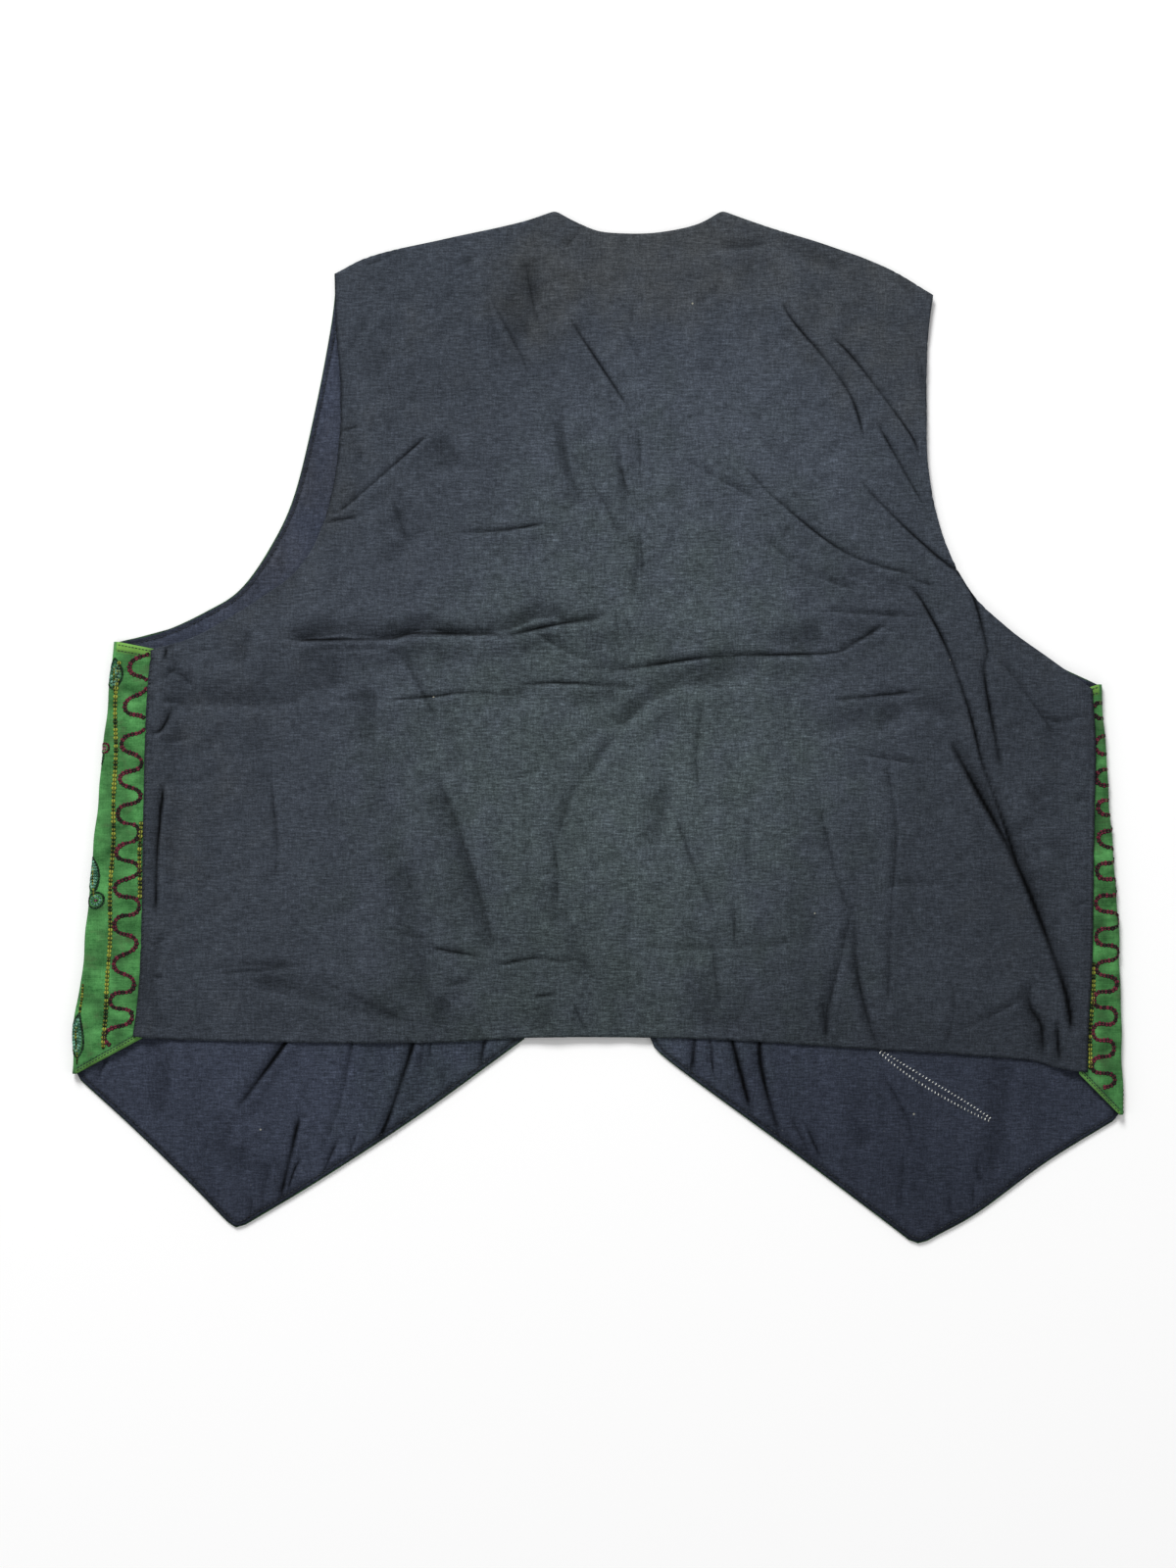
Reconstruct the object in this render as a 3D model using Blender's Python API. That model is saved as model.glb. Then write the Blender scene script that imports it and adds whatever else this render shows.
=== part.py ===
"""A sleeveless vest with pointed fronts, laid face down on a flat surface.

Two fronts of green cloth, each with a lining, lie lowest with their green side down.
They wrap round the sides and end on top in narrow strips, where the back panel laps
them at the side seams. The back panel covers all but the fronts' points and a sliver
of the left armhole. +X is to the right, +Y to the neck, +Z up from the surface.
Sizes are in millimetres and become metres when a mesh is made.
"""

import math
from collections import namedtuple

import bpy
import numpy as np

METRES = 0.001

# Cloth
WALL = 1.0
GAP = 0.3
LAYER = WALL + GAP
SHELL_Z = WALL / 2
LINING_Z = SHELL_Z + LAYER
BACK_Z = LINING_Z + LAYER

# Side folds: radius of each cloth's mid-surface
LINING_FOLD = 1.0
SHELL_FOLD = LINING_FOLD + LAYER

# Side seams: how far the strips reach under the back, and where the back comes down
SEAM_LAP = 5.0
LAP_FLAT = 8.0
LAP_END = 26.0
LAP_RISE = SHELL_Z + 2 * SHELL_FOLD + LAYER - BACK_Z
LAP_TOP_FADE = 30.0

# The back stands a little off the fronts, except near its own edges
LOFT = 1.6
LOFT_EDGE = 45.0

# Edges of the layers below stay just inside the edges above them
LINING_INSET = 1.5
SHOULDER_INSET = 1.0

# Cells of each piece
BACK_ROWS_SIDE = 12
BACK_ROWS_ARMHOLE = 13
BACK_COLUMNS_SHOULDER = 9
BACK_COLUMNS_NECK = 7
BACK_COLUMNS_BESIDE_SEAM = (7.0, 17.0)
FRONT_ROWS_SIDE = 11
FRONT_ROWS_ARMHOLE = 8
FRONT_COLUMNS_POINT = 7
FRONT_COLUMNS_SIDE = 5
FOLD_CELLS = 4
STRIP_CELLS = 2
CURVE_STEPS = 12

Edge = namedtuple("Edge", "x y")
Station = namedtuple("Station", "name left_x left_y right_x right_y")
Ridge = namedtuple("Ridge", "x0 y0 x1 y1 width height")
Tint = namedtuple("Tint", "colour roughness")

# Back panel, side seams from the hem corners up to the armpits
BACK_SIDES = (
    Station("hem corner", -284, -188, 299, -210),
    Station("above hem", -281, -164, 300, -176),
    Station("hip", -279, -128, 302, -140),
    Station("waist", -278, -70, 303, -66),
    Station("chest", -276, 10, 304, -12),
    Station("armpit", -273, 48, 302, 24),
)

# Back panel, armhole edges from the armpits to the shoulder tips
BACK_ARMHOLES = (
    Station("armpit", -273, 48, 302, 24),
    Station("under the arm", -243, 58, 276, 43),
    Station("curve", -206, 80, 250, 62),
    Station("front of curve", -183, 98, 228, 84),
    Station("low edge", -168, 125, 211, 118),
    Station("middle", -159, 165, 202, 160),
    Station("high edge", -157, 205, 201, 205),
    Station("below tip", -160, 245, 202, 240),
    Station("shoulder tip", -161, 278, 205, 265),
)

# Back panel's hem from left to right
BACK_HEM = (
    Edge(-284, -188), Edge(-262, -190), Edge(-180, -192), Edge(-100, -192), Edge(-40, -189),
    Edge(32, -189), Edge(89, -191), Edge(150, -195), Edge(231, -200), Edge(265, -203),
    Edge(282, -208), Edge(299, -210),
)

# Top edge: shoulder, neckline, shoulder
LEFT_SHOULDER = (Edge(-161, 278), Edge(-138, 289), Edge(-95, 299), Edge(-49, 309), Edge(-26, 316.5))
NECKLINE = (Edge(-26, 316.5), Edge(-12, 309), Edge(4, 303.5), Edge(34, 303), Edge(60, 308), Edge(76, 316.5))
RIGHT_SHOULDER = (Edge(76, 316.5), Edge(103, 307), Edge(142, 295), Edge(178, 281), Edge(205, 265))

# Fronts: the outermost line of each side fold, from the hem up to the armpit
LEFT_SILHOUETTE = (
    Edge(-321.5, -211), Edge(-320.5, -178), Edge(-316, -152), Edge(-310, -88),
    Edge(-304, -25), Edge(-300, 15), Edge(-296, 53),
)
RIGHT_SILHOUETTE = (
    Edge(321.5, -236), Edge(320.5, -190), Edge(318.5, -120), Edge(314, -60),
    Edge(310.5, -8), Edge(308, 27),
)

# Fronts: hem from the centre corner to the point, and from the point to the side fold
LEFT_HEM_CENTRE = (Edge(-45, -190), Edge(-107, -235), Edge(-168, -275), Edge(-222, -306))
LEFT_HEM_SIDE = (Edge(-222, -306), Edge(-249, -279), Edge(-285, -244), Edge(-319, -213))
RIGHT_HEM_CENTRE = (Edge(32, -189), Edge(43, -203), Edge(119, -259), Edge(196, -316.5))
RIGHT_HEM_SIDE = (Edge(196, -316.5), Edge(233, -296), Edge(275, -265), Edge(319, -238))

# Fronts: armhole edge from the side fold to the shoulder tip
LEFT_ARMHOLE = (
    Edge(-293.7, 53), Edge(-265, 60), Edge(-239, 72), Edge(-219, 85), Edge(-201, 110),
    Edge(-186, 142), Edge(-173, 195), Edge(-163, 248), Edge(-160, 277),
)
RIGHT_ARMHOLE = (
    Edge(305.7, 27), Edge(277, 41), Edge(249, 60.5), Edge(226, 83), Edge(209.5, 117),
    Edge(200.5, 160), Edge(199.5, 205), Edge(200.5, 240), Edge(203.5, 263),
)

# Fronts: centre edge from the hem corner up, then the V neckline to the shoulder
LEFT_CENTRE = (
    Edge(-45, -190), Edge(-31, -100), Edge(-14, 0), Edge(4, 105), Edge(-9, 215), Edge(-25, 314.5),
)
RIGHT_CENTRE = (
    Edge(32, -189), Edge(20, -110), Edge(17, 0), Edge(22, 105), Edge(48, 215), Edge(75.5, 314),
)

# Strips on top of the sides: where their lower ends meet the back's side edges
LEFT_STRIP_HEM = Edge(-283, -189)
RIGHT_STRIP_HEM = Edge(299, -211)

# Largest folds of the back: soft ridges and troughs, height above or below the loft
BACK_RIDGES = (
    Ridge(-187, 56, 4, 66, 14, 2.4),
    Ridge(0, 58, 150, 64, 12, 2.2),
    Ridge(216, -6, 292, -190, 13, -1.6),
    Ridge(232, -12, 308, -180, 12, 2.6),
    Ridge(112, 262, 196, 166, 13, 2.4),
    Ridge(90, 160, 190, 94, 12, 2.0),
    Ridge(-135, 140, -106, 180, 12, 1.8),
    Ridge(-12, 245, 20, 194, 13, 2.0),
    Ridge(-212, -154, -116, -178, 12, 1.8),
    Ridge(180, -20, 178, -170, 12, 1.8),
    Ridge(-90, -40, -64, -138, 16, 1.8),
    Ridge(10, -4, -28, -72, 14, -1.5),
    Ridge(40, -46, 72, -116, 14, 1.6),
)

# Folds that run from under the back's hem down the linings of the points
LINING_RIDGES = (
    Ridge(-197, -200, -222, -232, 9, 1.2),
    Ridge(-150, -196, -164, -250, 10, 1.2),
    Ridge(-116, -196, -132, -248, 10, 1.2),
    Ridge(84, -196, 102, -240, 9, 1.2),
    Ridge(176, -214, 192, -262, 10, 1.2),
    Ridge(252, -206, 240, -270, 14, 1.0),
)

CHARCOAL = Tint((0.045, 0.052, 0.066, 1.0), 0.92)
LINING_CHARCOAL = Tint((0.036, 0.042, 0.056, 1.0), 0.94)
GREEN = Tint((0.055, 0.190, 0.055, 1.0), 0.85)


def clear_scene():
    for existing in list(bpy.data.objects):
        bpy.data.objects.remove(existing, do_unlink=True)


def curve(points, cells, near_start=(), near_end=()):
    """Even points along a smooth curve through the given ones, ends included.

    Extra points may stand at given distances from its start and its end.
    """
    fixed = np.array(points, float)
    padded = np.vstack([2 * fixed[0] - fixed[1], fixed, 2 * fixed[-1] - fixed[-2]])
    dense = [fixed[0]]
    for index in range(len(fixed) - 1):
        before, start, end, after = padded[index : index + 4]
        for step in range(1, CURVE_STEPS + 1):
            t = step / CURVE_STEPS
            dense.append(
                start
                + 0.5 * t * (end - before)
                + t**2 * (before - 2.5 * start + 2 * end - 0.5 * after)
                + 0.5 * t**3 * (3 * start - 3 * end + after - before)
            )
    dense = np.array(dense)
    run = np.concatenate([[0.0], np.cumsum(np.linalg.norm(np.diff(dense, axis=0), axis=1))])
    extra_start = np.array(near_start, float)
    extra_end = run[-1] - np.array(near_end, float)[::-1]
    low = extra_start[-1] if len(extra_start) else 0.0
    high = extra_end[0] if len(extra_end) else run[-1]
    even = np.linspace(low, high, cells + 1)
    ends = ([0.0] if len(extra_start) else [], [run[-1]] if len(extra_end) else [])
    stops = np.concatenate([ends[0], extra_start[:-1], even, extra_end[1:], ends[1]])
    return np.column_stack([np.interp(stops, run, dense[:, axis]) for axis in (0, 1)])


def chain(*curves):
    """Curves that meet end to end as one run of points."""
    return np.vstack([curves[0]] + [part[1:] for part in curves[1:]])


def station_side(stations, side):
    if side == "left":
        return [Edge(row.left_x, row.left_y) for row in stations]
    return [Edge(row.right_x, row.right_y) for row in stations]


def patch(bottom, top, left, right):
    """Grid of plan points between four edges, as rows from bottom to top."""
    run = np.cumsum(np.linalg.norm(np.diff(bottom, axis=0), axis=1))
    u = (np.concatenate([[0.0], run]) / run[-1])[None, :, None]
    v = np.linspace(0.0, 1.0, len(left))[:, None, None]
    across = (1 - u) * left[:, None] + u * right[:, None]
    along = (1 - v) * bottom[None] + v * top[None]
    corners = (1 - v) * ((1 - u) * bottom[0] + u * bottom[-1]) + v * ((1 - u) * top[0] + u * top[-1])
    return across + along - corners


def smooth_step(value):
    clipped = np.clip(value, 0.0, 1.0)
    return clipped * clipped * (3 - 2 * clipped)


def ridges_height(plan, ridges):
    """Sum of soft folds, each fading along its ends."""
    height = np.zeros(plan.shape[:-1])
    for ridge in ridges:
        start = np.array([ridge.x0, ridge.y0], float)
        run = np.array([ridge.x1, ridge.y1]) - start
        along = np.clip(((plan - start) @ run) / (run @ run), 0.0, 1.0)
        away = np.linalg.norm(plan - (start + along[..., None] * run), axis=-1)
        height += ridge.height * np.exp(-((away / ridge.width) ** 2))
    return height


def lining_height(plan):
    """Folds of a lining's point; they die away under the back."""
    fade = smooth_step((-150.0 - plan[..., 1]) / 40.0)
    return fade * ridges_height(plan, LINING_RIDGES)


def add_cloth(name, vertices, faces, tint):
    mesh = bpy.data.meshes.new(name)
    mesh.from_pydata([tuple(METRES * value for value in point) for point in vertices], [], faces)
    mesh.shade_smooth()
    piece = bpy.data.objects.new(name, mesh)
    bpy.context.scene.collection.objects.link(piece)
    wall = piece.modifiers.new("wall", "SOLIDIFY")
    wall.thickness = WALL * METRES
    wall.offset = 0.0
    wall.use_even_offset = True
    material = bpy.data.materials.new(name)
    material.use_nodes = True
    shader = material.node_tree.nodes["Principled BSDF"]
    shader.inputs["Base Color"].default_value = tint.colour
    shader.inputs["Roughness"].default_value = tint.roughness
    shader.inputs["Metallic"].default_value = 0.0
    mesh.materials.append(material)


def grid_faces(index):
    """Quads of a grid of vertex numbers, facing up."""
    return [
        (index[row, column], index[row, column + 1], index[row + 1, column + 1], index[row + 1, column])
        for row in range(index.shape[0] - 1)
        for column in range(index.shape[1] - 1)
    ]


def lap_height(plan, rows_side, left, right):
    """Height that the strips at the side seams add under the back."""
    height = np.zeros(plan.shape[:-1])
    for edge in (left, right):
        seam = edge[: rows_side + 1]
        seam_x = np.interp(plan[..., 1], seam[:, 1], seam[:, 0])
        inward = np.abs(plan[..., 0] - seam_x)
        beside = 1 - smooth_step((inward - LAP_FLAT) / (LAP_END - LAP_FLAT))
        above = 1 - smooth_step((plan[..., 1] - seam[-1, 1] - GAP) / LAP_TOP_FADE)
        height = np.maximum(height, LAP_RISE * beside * above)
    return height


def edge_distance(plan):
    """Distance of each grid point from the nearest edge of its piece."""
    rim = np.concatenate([plan[0], plan[-1], plan[:, 0], plan[:, -1]])
    return np.linalg.norm(plan[:, :, None] - rim[None, None], axis=-1).min(axis=-1)


def make_back():
    left = chain(
        curve(station_side(BACK_SIDES, "left"), BACK_ROWS_SIDE),
        curve(station_side(BACK_ARMHOLES, "left"), BACK_ROWS_ARMHOLE),
    )
    right = chain(
        curve(station_side(BACK_SIDES, "right"), BACK_ROWS_SIDE),
        curve(station_side(BACK_ARMHOLES, "right"), BACK_ROWS_ARMHOLE),
    )
    near = BACK_COLUMNS_BESIDE_SEAM
    top = chain(
        curve(LEFT_SHOULDER, BACK_COLUMNS_SHOULDER, near_start=near),
        curve(NECKLINE, BACK_COLUMNS_NECK),
        curve(RIGHT_SHOULDER, BACK_COLUMNS_SHOULDER, near_end=near),
    )
    hem_cells = 2 * BACK_COLUMNS_SHOULDER + BACK_COLUMNS_NECK
    plan = patch(curve(BACK_HEM, hem_cells, near, near), top, left, right)
    inner = smooth_step(edge_distance(plan) / LOFT_EDGE)
    folds = inner * (LOFT + ridges_height(plan, BACK_RIDGES))
    height = BACK_Z + lap_height(plan, BACK_ROWS_SIDE, left, right) + lining_height(plan)
    height += np.maximum(folds, 0.0)
    vertices = np.dstack([plan, height]).reshape(-1, 3)
    index = np.arange(len(vertices)).reshape(height.shape)
    add_cloth("back_panel", vertices, grid_faces(index), CHARCOAL)
    return left, right


def inset(plan, distance):
    """Grid with its four edges drawn in towards their neighbours."""
    moved = plan.copy()
    for edge, inner in ((0, 1), (-1, -2)):
        step = plan[inner] - plan[edge]
        moved[edge] += distance * step / np.linalg.norm(step, axis=-1, keepdims=True)
    step = plan[:, 1] - plan[:, 0]
    moved[:, 0] += distance * step / np.linalg.norm(step, axis=-1, keepdims=True)
    above = slice(FRONT_ROWS_SIDE + 1, None)
    step = plan[above, -2] - plan[above, -1]
    moved[above, -1] += distance * step / np.linalg.norm(step, axis=-1, keepdims=True)
    return moved


def make_front(side, tables, seam, tint):
    """The outer cloth and the lining of one front, from the centre edge to the side seam."""
    outward = -1 if side == "left" else 1
    fold_line = curve(tables["silhouette"], FRONT_ROWS_SIDE)
    fold_line[:, 0] -= outward * SHELL_FOLD
    flat_side = chain(fold_line, curve(tables["armhole"], FRONT_ROWS_ARMHOLE))
    hem = chain(
        curve(tables["hem_centre"], FRONT_COLUMNS_POINT),
        curve(tables["hem_side"], FRONT_COLUMNS_SIDE),
    )
    hem[-1] = fold_line[0]
    centre = curve(tables["centre"], len(flat_side) - 1)
    shoulder = curve(tables["shoulder"], len(hem) - 1)
    shoulder[:, 1] -= SHOULDER_INSET
    centre[-1] = shoulder[0]
    flat_side[-1] = shoulder[-1]
    flat = patch(hem, shoulder, centre, flat_side)
    seam_stops = np.linspace(0, len(seam) - 1, FRONT_ROWS_SIDE + 1)
    seam_line = np.column_stack(
        [np.interp(seam_stops, np.arange(len(seam)), seam[:, axis]) for axis in (0, 1)]
    )
    seam_line[0] = tables["strip_hem"]
    seam_line[:, 0] -= outward * SEAM_LAP

    for cloth, level, radius, cloth_tint in (
        ("shell", SHELL_Z, SHELL_FOLD, tint),
        ("lining", LINING_Z, LINING_FOLD, LINING_CHARCOAL),
    ):
        plan = flat if cloth == "shell" else inset(flat, LINING_INSET)
        rise = np.zeros(plan.shape[:-1]) if cloth == "shell" else lining_height(plan)
        rise[:, -1] = 0.0
        vertices = np.dstack([plan, level + rise]).reshape(-1, 3).tolist()
        index = np.arange(len(vertices)).reshape(plan.shape[:-1])
        faces = grid_faces(index)
        wrapped = [index[: FRONT_ROWS_SIDE + 1, -1]]
        start = plan[: FRONT_ROWS_SIDE + 1, -1]
        strip = seam_line - flat[: FRONT_ROWS_SIDE + 1, -1]
        for cell in range(1, FOLD_CELLS + STRIP_CELLS + 1):
            turned = min(cell, FOLD_CELLS) * math.pi / FOLD_CELLS
            past = max(cell - FOLD_CELLS, 0) / STRIP_CELLS
            place = start + past * strip + [outward * radius * math.sin(turned), 0.0]
            high = level + radius * (1 - math.cos(turned))
            wrapped.append(np.arange(len(vertices), len(vertices) + len(place)))
            vertices += np.column_stack([place, np.full(len(place), high)]).tolist()
        faces += grid_faces(np.array(wrapped).T)
        if outward < 0:
            faces = [face[::-1] for face in faces]
        add_cloth(f"front_{side}_{cloth}", vertices, faces, cloth_tint)


def main():
    clear_scene()
    left_edge, right_edge = make_back()
    make_front(
        "left",
        {
            "silhouette": LEFT_SILHOUETTE,
            "armhole": LEFT_ARMHOLE,
            "hem_centre": LEFT_HEM_CENTRE,
            "hem_side": LEFT_HEM_SIDE,
            "centre": LEFT_CENTRE,
            "shoulder": LEFT_SHOULDER[::-1],
            "strip_hem": LEFT_STRIP_HEM,
        },
        left_edge[: BACK_ROWS_SIDE + 1],
        GREEN,
    )
    make_front(
        "right",
        {
            "silhouette": RIGHT_SILHOUETTE,
            "armhole": RIGHT_ARMHOLE,
            "hem_centre": RIGHT_HEM_CENTRE,
            "hem_side": RIGHT_HEM_SIDE,
            "centre": RIGHT_CENTRE,
            "shoulder": RIGHT_SHOULDER,
            "strip_hem": RIGHT_STRIP_HEM,
        },
        right_edge[: BACK_ROWS_SIDE + 1],
        GREEN,
    )


main()
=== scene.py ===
"""Looks of a sleeveless embroidered vest that lies face down: cloth, creases, embroidery, stitches.

+X is to the right, +Y to the neck, +Z up. Lengths are in millimetres until a mesh is made.
"""

import math
from collections import namedtuple

import bpy
import numpy as np
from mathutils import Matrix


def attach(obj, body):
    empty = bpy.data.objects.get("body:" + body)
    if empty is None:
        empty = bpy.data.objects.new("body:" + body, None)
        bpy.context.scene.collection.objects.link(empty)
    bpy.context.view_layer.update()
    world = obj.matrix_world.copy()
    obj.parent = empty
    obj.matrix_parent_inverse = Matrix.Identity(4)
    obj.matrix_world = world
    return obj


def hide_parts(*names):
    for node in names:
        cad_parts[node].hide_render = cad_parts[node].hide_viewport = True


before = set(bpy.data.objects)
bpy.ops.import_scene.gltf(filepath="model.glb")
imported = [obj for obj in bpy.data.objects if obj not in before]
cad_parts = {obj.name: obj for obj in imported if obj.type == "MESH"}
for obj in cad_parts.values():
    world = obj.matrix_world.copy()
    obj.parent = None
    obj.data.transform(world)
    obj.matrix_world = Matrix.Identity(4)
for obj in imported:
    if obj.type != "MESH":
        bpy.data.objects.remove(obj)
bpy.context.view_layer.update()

METRES = 0.001
BODY = "root"

# ---- sizes of the cloth: its wall, heights of the middle of the wall, and radii of the side folds
WALL = 0.5
SHELL_Z = 0.62
LINING_Z = 1.8
BACK_Z = 3.1
LINING_FOLD = 1.0
SHELL_FOLD = 2.3

# How the strips lap over the back's sides, and how the back lifts over what lies under it
SEAM_LAP = 5.0
LAP_FLAT = 7.0
LAP_END = 24.0
LAP_RISE = 3.3
LAP_TOP_FADE = 30.0
LOFT = 1.6
LOFT_EDGE = 32.0
LINING_INSET = 0.8
SHOULDER_INSET = 1.0

# Cells: the back's counts are multiples of its underside's stride
UNDER_STRIDE = 3
BACK_ROWS_SIDE = 129
BACK_ROWS_ARMHOLE = 144
BACK_COLUMNS = (114, 78, 111)
FRONT_ROWS_SIDE = 150
FRONT_ROWS_ARMHOLE = 60
FRONT_COLUMNS = (34, 26)
LINING_FINE_ROWS = 26
LINING_SPLIT = 3
LINING_ROWS_SIDE = 60
LINING_ROWS_ARMHOLE = 66
LINING_COLUMNS = (104, 72)
FOLD_CELLS = 8
STRIP_CELLS = 22
CURVE_STEPS = 24

# How far the grid is drawn to creases, and up to what width of crease; the side that the light comes from
GATHER_WIDEST = 2.5
GATHER_REACH = 7.0
GATHER_SHARE = 0.6
SNAP_REACH = 1.1
LIGHT_SIDE = (-0.35, 0.94)

Edge = namedtuple("Edge", "x y")
Station = namedtuple("Station", "name left_x left_y right_x right_y")
Ridge = namedtuple("Ridge", "x0 y0 x1 y1 width height")
Fold = namedtuple("Fold", "width soft depth swell swell_width tint shadow")
Crease = namedtuple("Crease", "fold points")
Tone = namedtuple("Tone", "x y reach shade warm")


def rows(kind, *values):
    """A table: one named tuple for each row of values."""
    return tuple(kind(*row) for row in values)


# ---- outlines, as cut for the solids
BACK_SIDES = (
    Station("hem corner", -284, -188, 299, -210),
    Station("above hem", -281, -164, 300, -176),
    Station("hip", -279, -128, 302, -140),
    Station("waist", -278, -70, 303, -66),
    Station("chest", -276, 10, 304, -12),
    Station("armpit", -273, 48, 302, 24),
)
BACK_ARMHOLES = (
    Station("armpit", -273, 48, 302, 24),
    Station("under the arm", -243, 58, 276, 43),
    Station("curve", -206, 80, 250, 62),
    Station("front of curve", -183, 98, 228, 84),
    Station("low edge", -168, 125, 211, 118),
    Station("middle", -159, 165, 202, 160),
    Station("high edge", -157, 205, 201, 205),
    Station("below tip", -160, 245, 202, 240),
    Station("shoulder tip", -161, 278, 205, 265),
)
BACK_HEM = (
    (-284, -188), (-262, -190), (-180, -192), (-100, -192), (-40, -189),
    (32, -189), (89, -191), (150, -195), (231, -200), (265, -203),
    (282, -208), (299, -210),
)
LEFT_SHOULDER = ((-161, 278), (-138, 289), (-95, 299), (-49, 309), (-26, 316.5))
NECKLINE = ((-26, 316.5), (-12, 309), (4, 303.5), (34, 303), (60, 308), (76, 316.5))
RIGHT_SHOULDER = ((76, 316.5), (103, 307), (142, 295), (178, 281), (205, 265))

# Each front's edges, and its strip: silhouette is the fold as seen from above, strip_hem the strip's corner
# at the back's hem, inner_row the stretch of y where the yellow row by the seam shows, and outer_row that
# border's far row from the seam. Period, phase and seed are the meander's, and shade is how dark the green is
# painted: on the right front a painted shadow, as that strip lies away from the light.
FRONTS = {
    "left": {
        "outward": -1,
        "silhouette": (
            (-321.5, -211), (-320.5, -178), (-316, -152), (-310, -88),
            (-304, -25), (-300, 15), (-296, 53),
        ),
        "hem_centre": (
            (-45, -190), (-107, -235), (-168, -275), (-212, -301.5),
            (-217.5, -304.4), (-221.5, -305.3),
        ),
        "hem_side": (
            (-221.5, -305.3), (-225, -303.2), (-230, -298.5), (-249, -279),
            (-285, -244), (-319, -213),
        ),
        "armhole": (
            (-293.7, 53), (-265, 60), (-239, 72), (-219, 85), (-201, 110),
            (-186, 142), (-173, 195), (-163, 248), (-160, 277),
        ),
        "centre": (
            (-45, -190), (-31, -100), (-14, 0), (4, 105), (-9, 215),
            (-25, 314.5),
        ),
        "shoulder": LEFT_SHOULDER[::-1],
        "strip_hem": Edge(-283, -189),
        "inner_row": (-104, -57),
        "outer_row": 18.6,
        "period": 22.6,
        "phase": -1.2,
        "seed": 100,
        "shade": 0.98,
    },
    "right": {
        "outward": 1,
        "silhouette": (
            (321.5, -236), (320.5, -190), (318.5, -120), (314, -60),
            (310.5, -8), (308, 27),
        ),
        "hem_centre": (
            (32, -189), (43, -203), (119, -259), (184, -308), (190, -312.8),
            (196, -315),
        ),
        "hem_side": (
            (196, -315), (201.5, -313.6), (208, -310), (233, -296),
            (275, -265), (319, -238),
        ),
        "armhole": (
            (305.7, 27), (277, 41), (249, 60.5), (226, 83), (209.5, 117),
            (200.5, 160), (199.5, 205), (200.5, 240), (203.5, 263),
        ),
        "centre": (
            (32, -189), (20, -110), (17, 0), (22, 105), (48, 215),
            (75.5, 314),
        ),
        "shoulder": RIGHT_SHOULDER,
        "strip_hem": Edge(299, -211),
        "inner_row": (-208, -143),
        "outer_row": 25.5,
        "period": 19.5,
        "phase": 0.6,
        "seed": 200,
        # Painted shadow: the right front's green is painted darker, as its strip lies away from the light
        "shade": 0.82,
    },
}

# ---- folds
BACK_RIDGES = rows(
    Ridge,
    (-187, 56, 4, 66, 14, 2.4), (0, 58, 150, 64, 12, 2.2), (216, -6, 292, -190, 13, -1.6),
    (232, -12, 308, -180, 12, 2.6), (112, 262, 196, 166, 13, 2.4), (90, 160, 190, 94, 12, 2.0),
    (-135, 140, -106, 180, 12, 1.8), (-12, 245, 20, 194, 13, 2.0), (-212, -154, -116, -178, 12, 1.8),
    (180, -20, 178, -170, 12, 1.8), (-90, -40, -64, -138, 16, 1.8), (10, -4, -28, -72, 14, -1.5),
    (40, -46, 72, -116, 14, 1.6),
)
LINING_RIDGES = rows(
    Ridge,
    (-197, -200, -222, -232, 9, 1.2), (-150, -196, -164, -250, 10, 1.2), (-116, -196, -132, -248, 10, 1.2),
    (84, -196, 102, -240, 9, 1.2), (176, -214, 192, -262, 10, 1.2), (252, -206, 240, -270, 14, 1.0),
)

# Each fold: half widths of its sharp foot and of its slope away from the light, depth, swell and swell width,
# then how strongly painted shade darkens the foot's line (tint) and the slope (shadow)
LONG = Fold(1.9, 4.8, 3.6, 1.9, 6.5, 1.0, 0.42)
NARROW = Fold(1.2, 3.6, 3.0, 1.9, 5.5, 1.0, 0.40)
BROAD = Fold(1.5, 7.0, 3.2, 2.2, 8.0, 0.46, 0.42)
DEEP = Fold(1.5, 4.4, 3.0, 2.0, 6.0, 0.72, 0.42)
TUCK = Fold(1.4, 3.2, 2.2, 1.4, 5.0, 0.60, 0.34)
SHARP = Fold(1.1, 2.0, 1.9, 1.0, 4.5, 0.82, 0.24)
PLEAT = Fold(1.7, 3.0, 2.4, 1.2, 4.5, 1.0, 0.38)
HAIR = Fold(0.9, 1.6, 1.3, 0.8, 4.5, 0.72, 0.16)
SOFT = Fold(1.7, 3.6, 2.2, 1.4, 5.5, 0.34, 0.30)
FINE = Fold(1.0, 2.4, 1.1, 0.6, 4.0, 0.40, 0.22)
FAINT = Fold(1.6, 3.4, 0.8, 0.3, 5.0, 0.12, 0.13)
WIDE = Fold(3.5, 9.5, 2.4, 1.2, 12.0, 0.0, 0.26)


def creases(*groups):
    return tuple(Crease(fold, line) for fold, lines in groups for line in lines)


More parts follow.
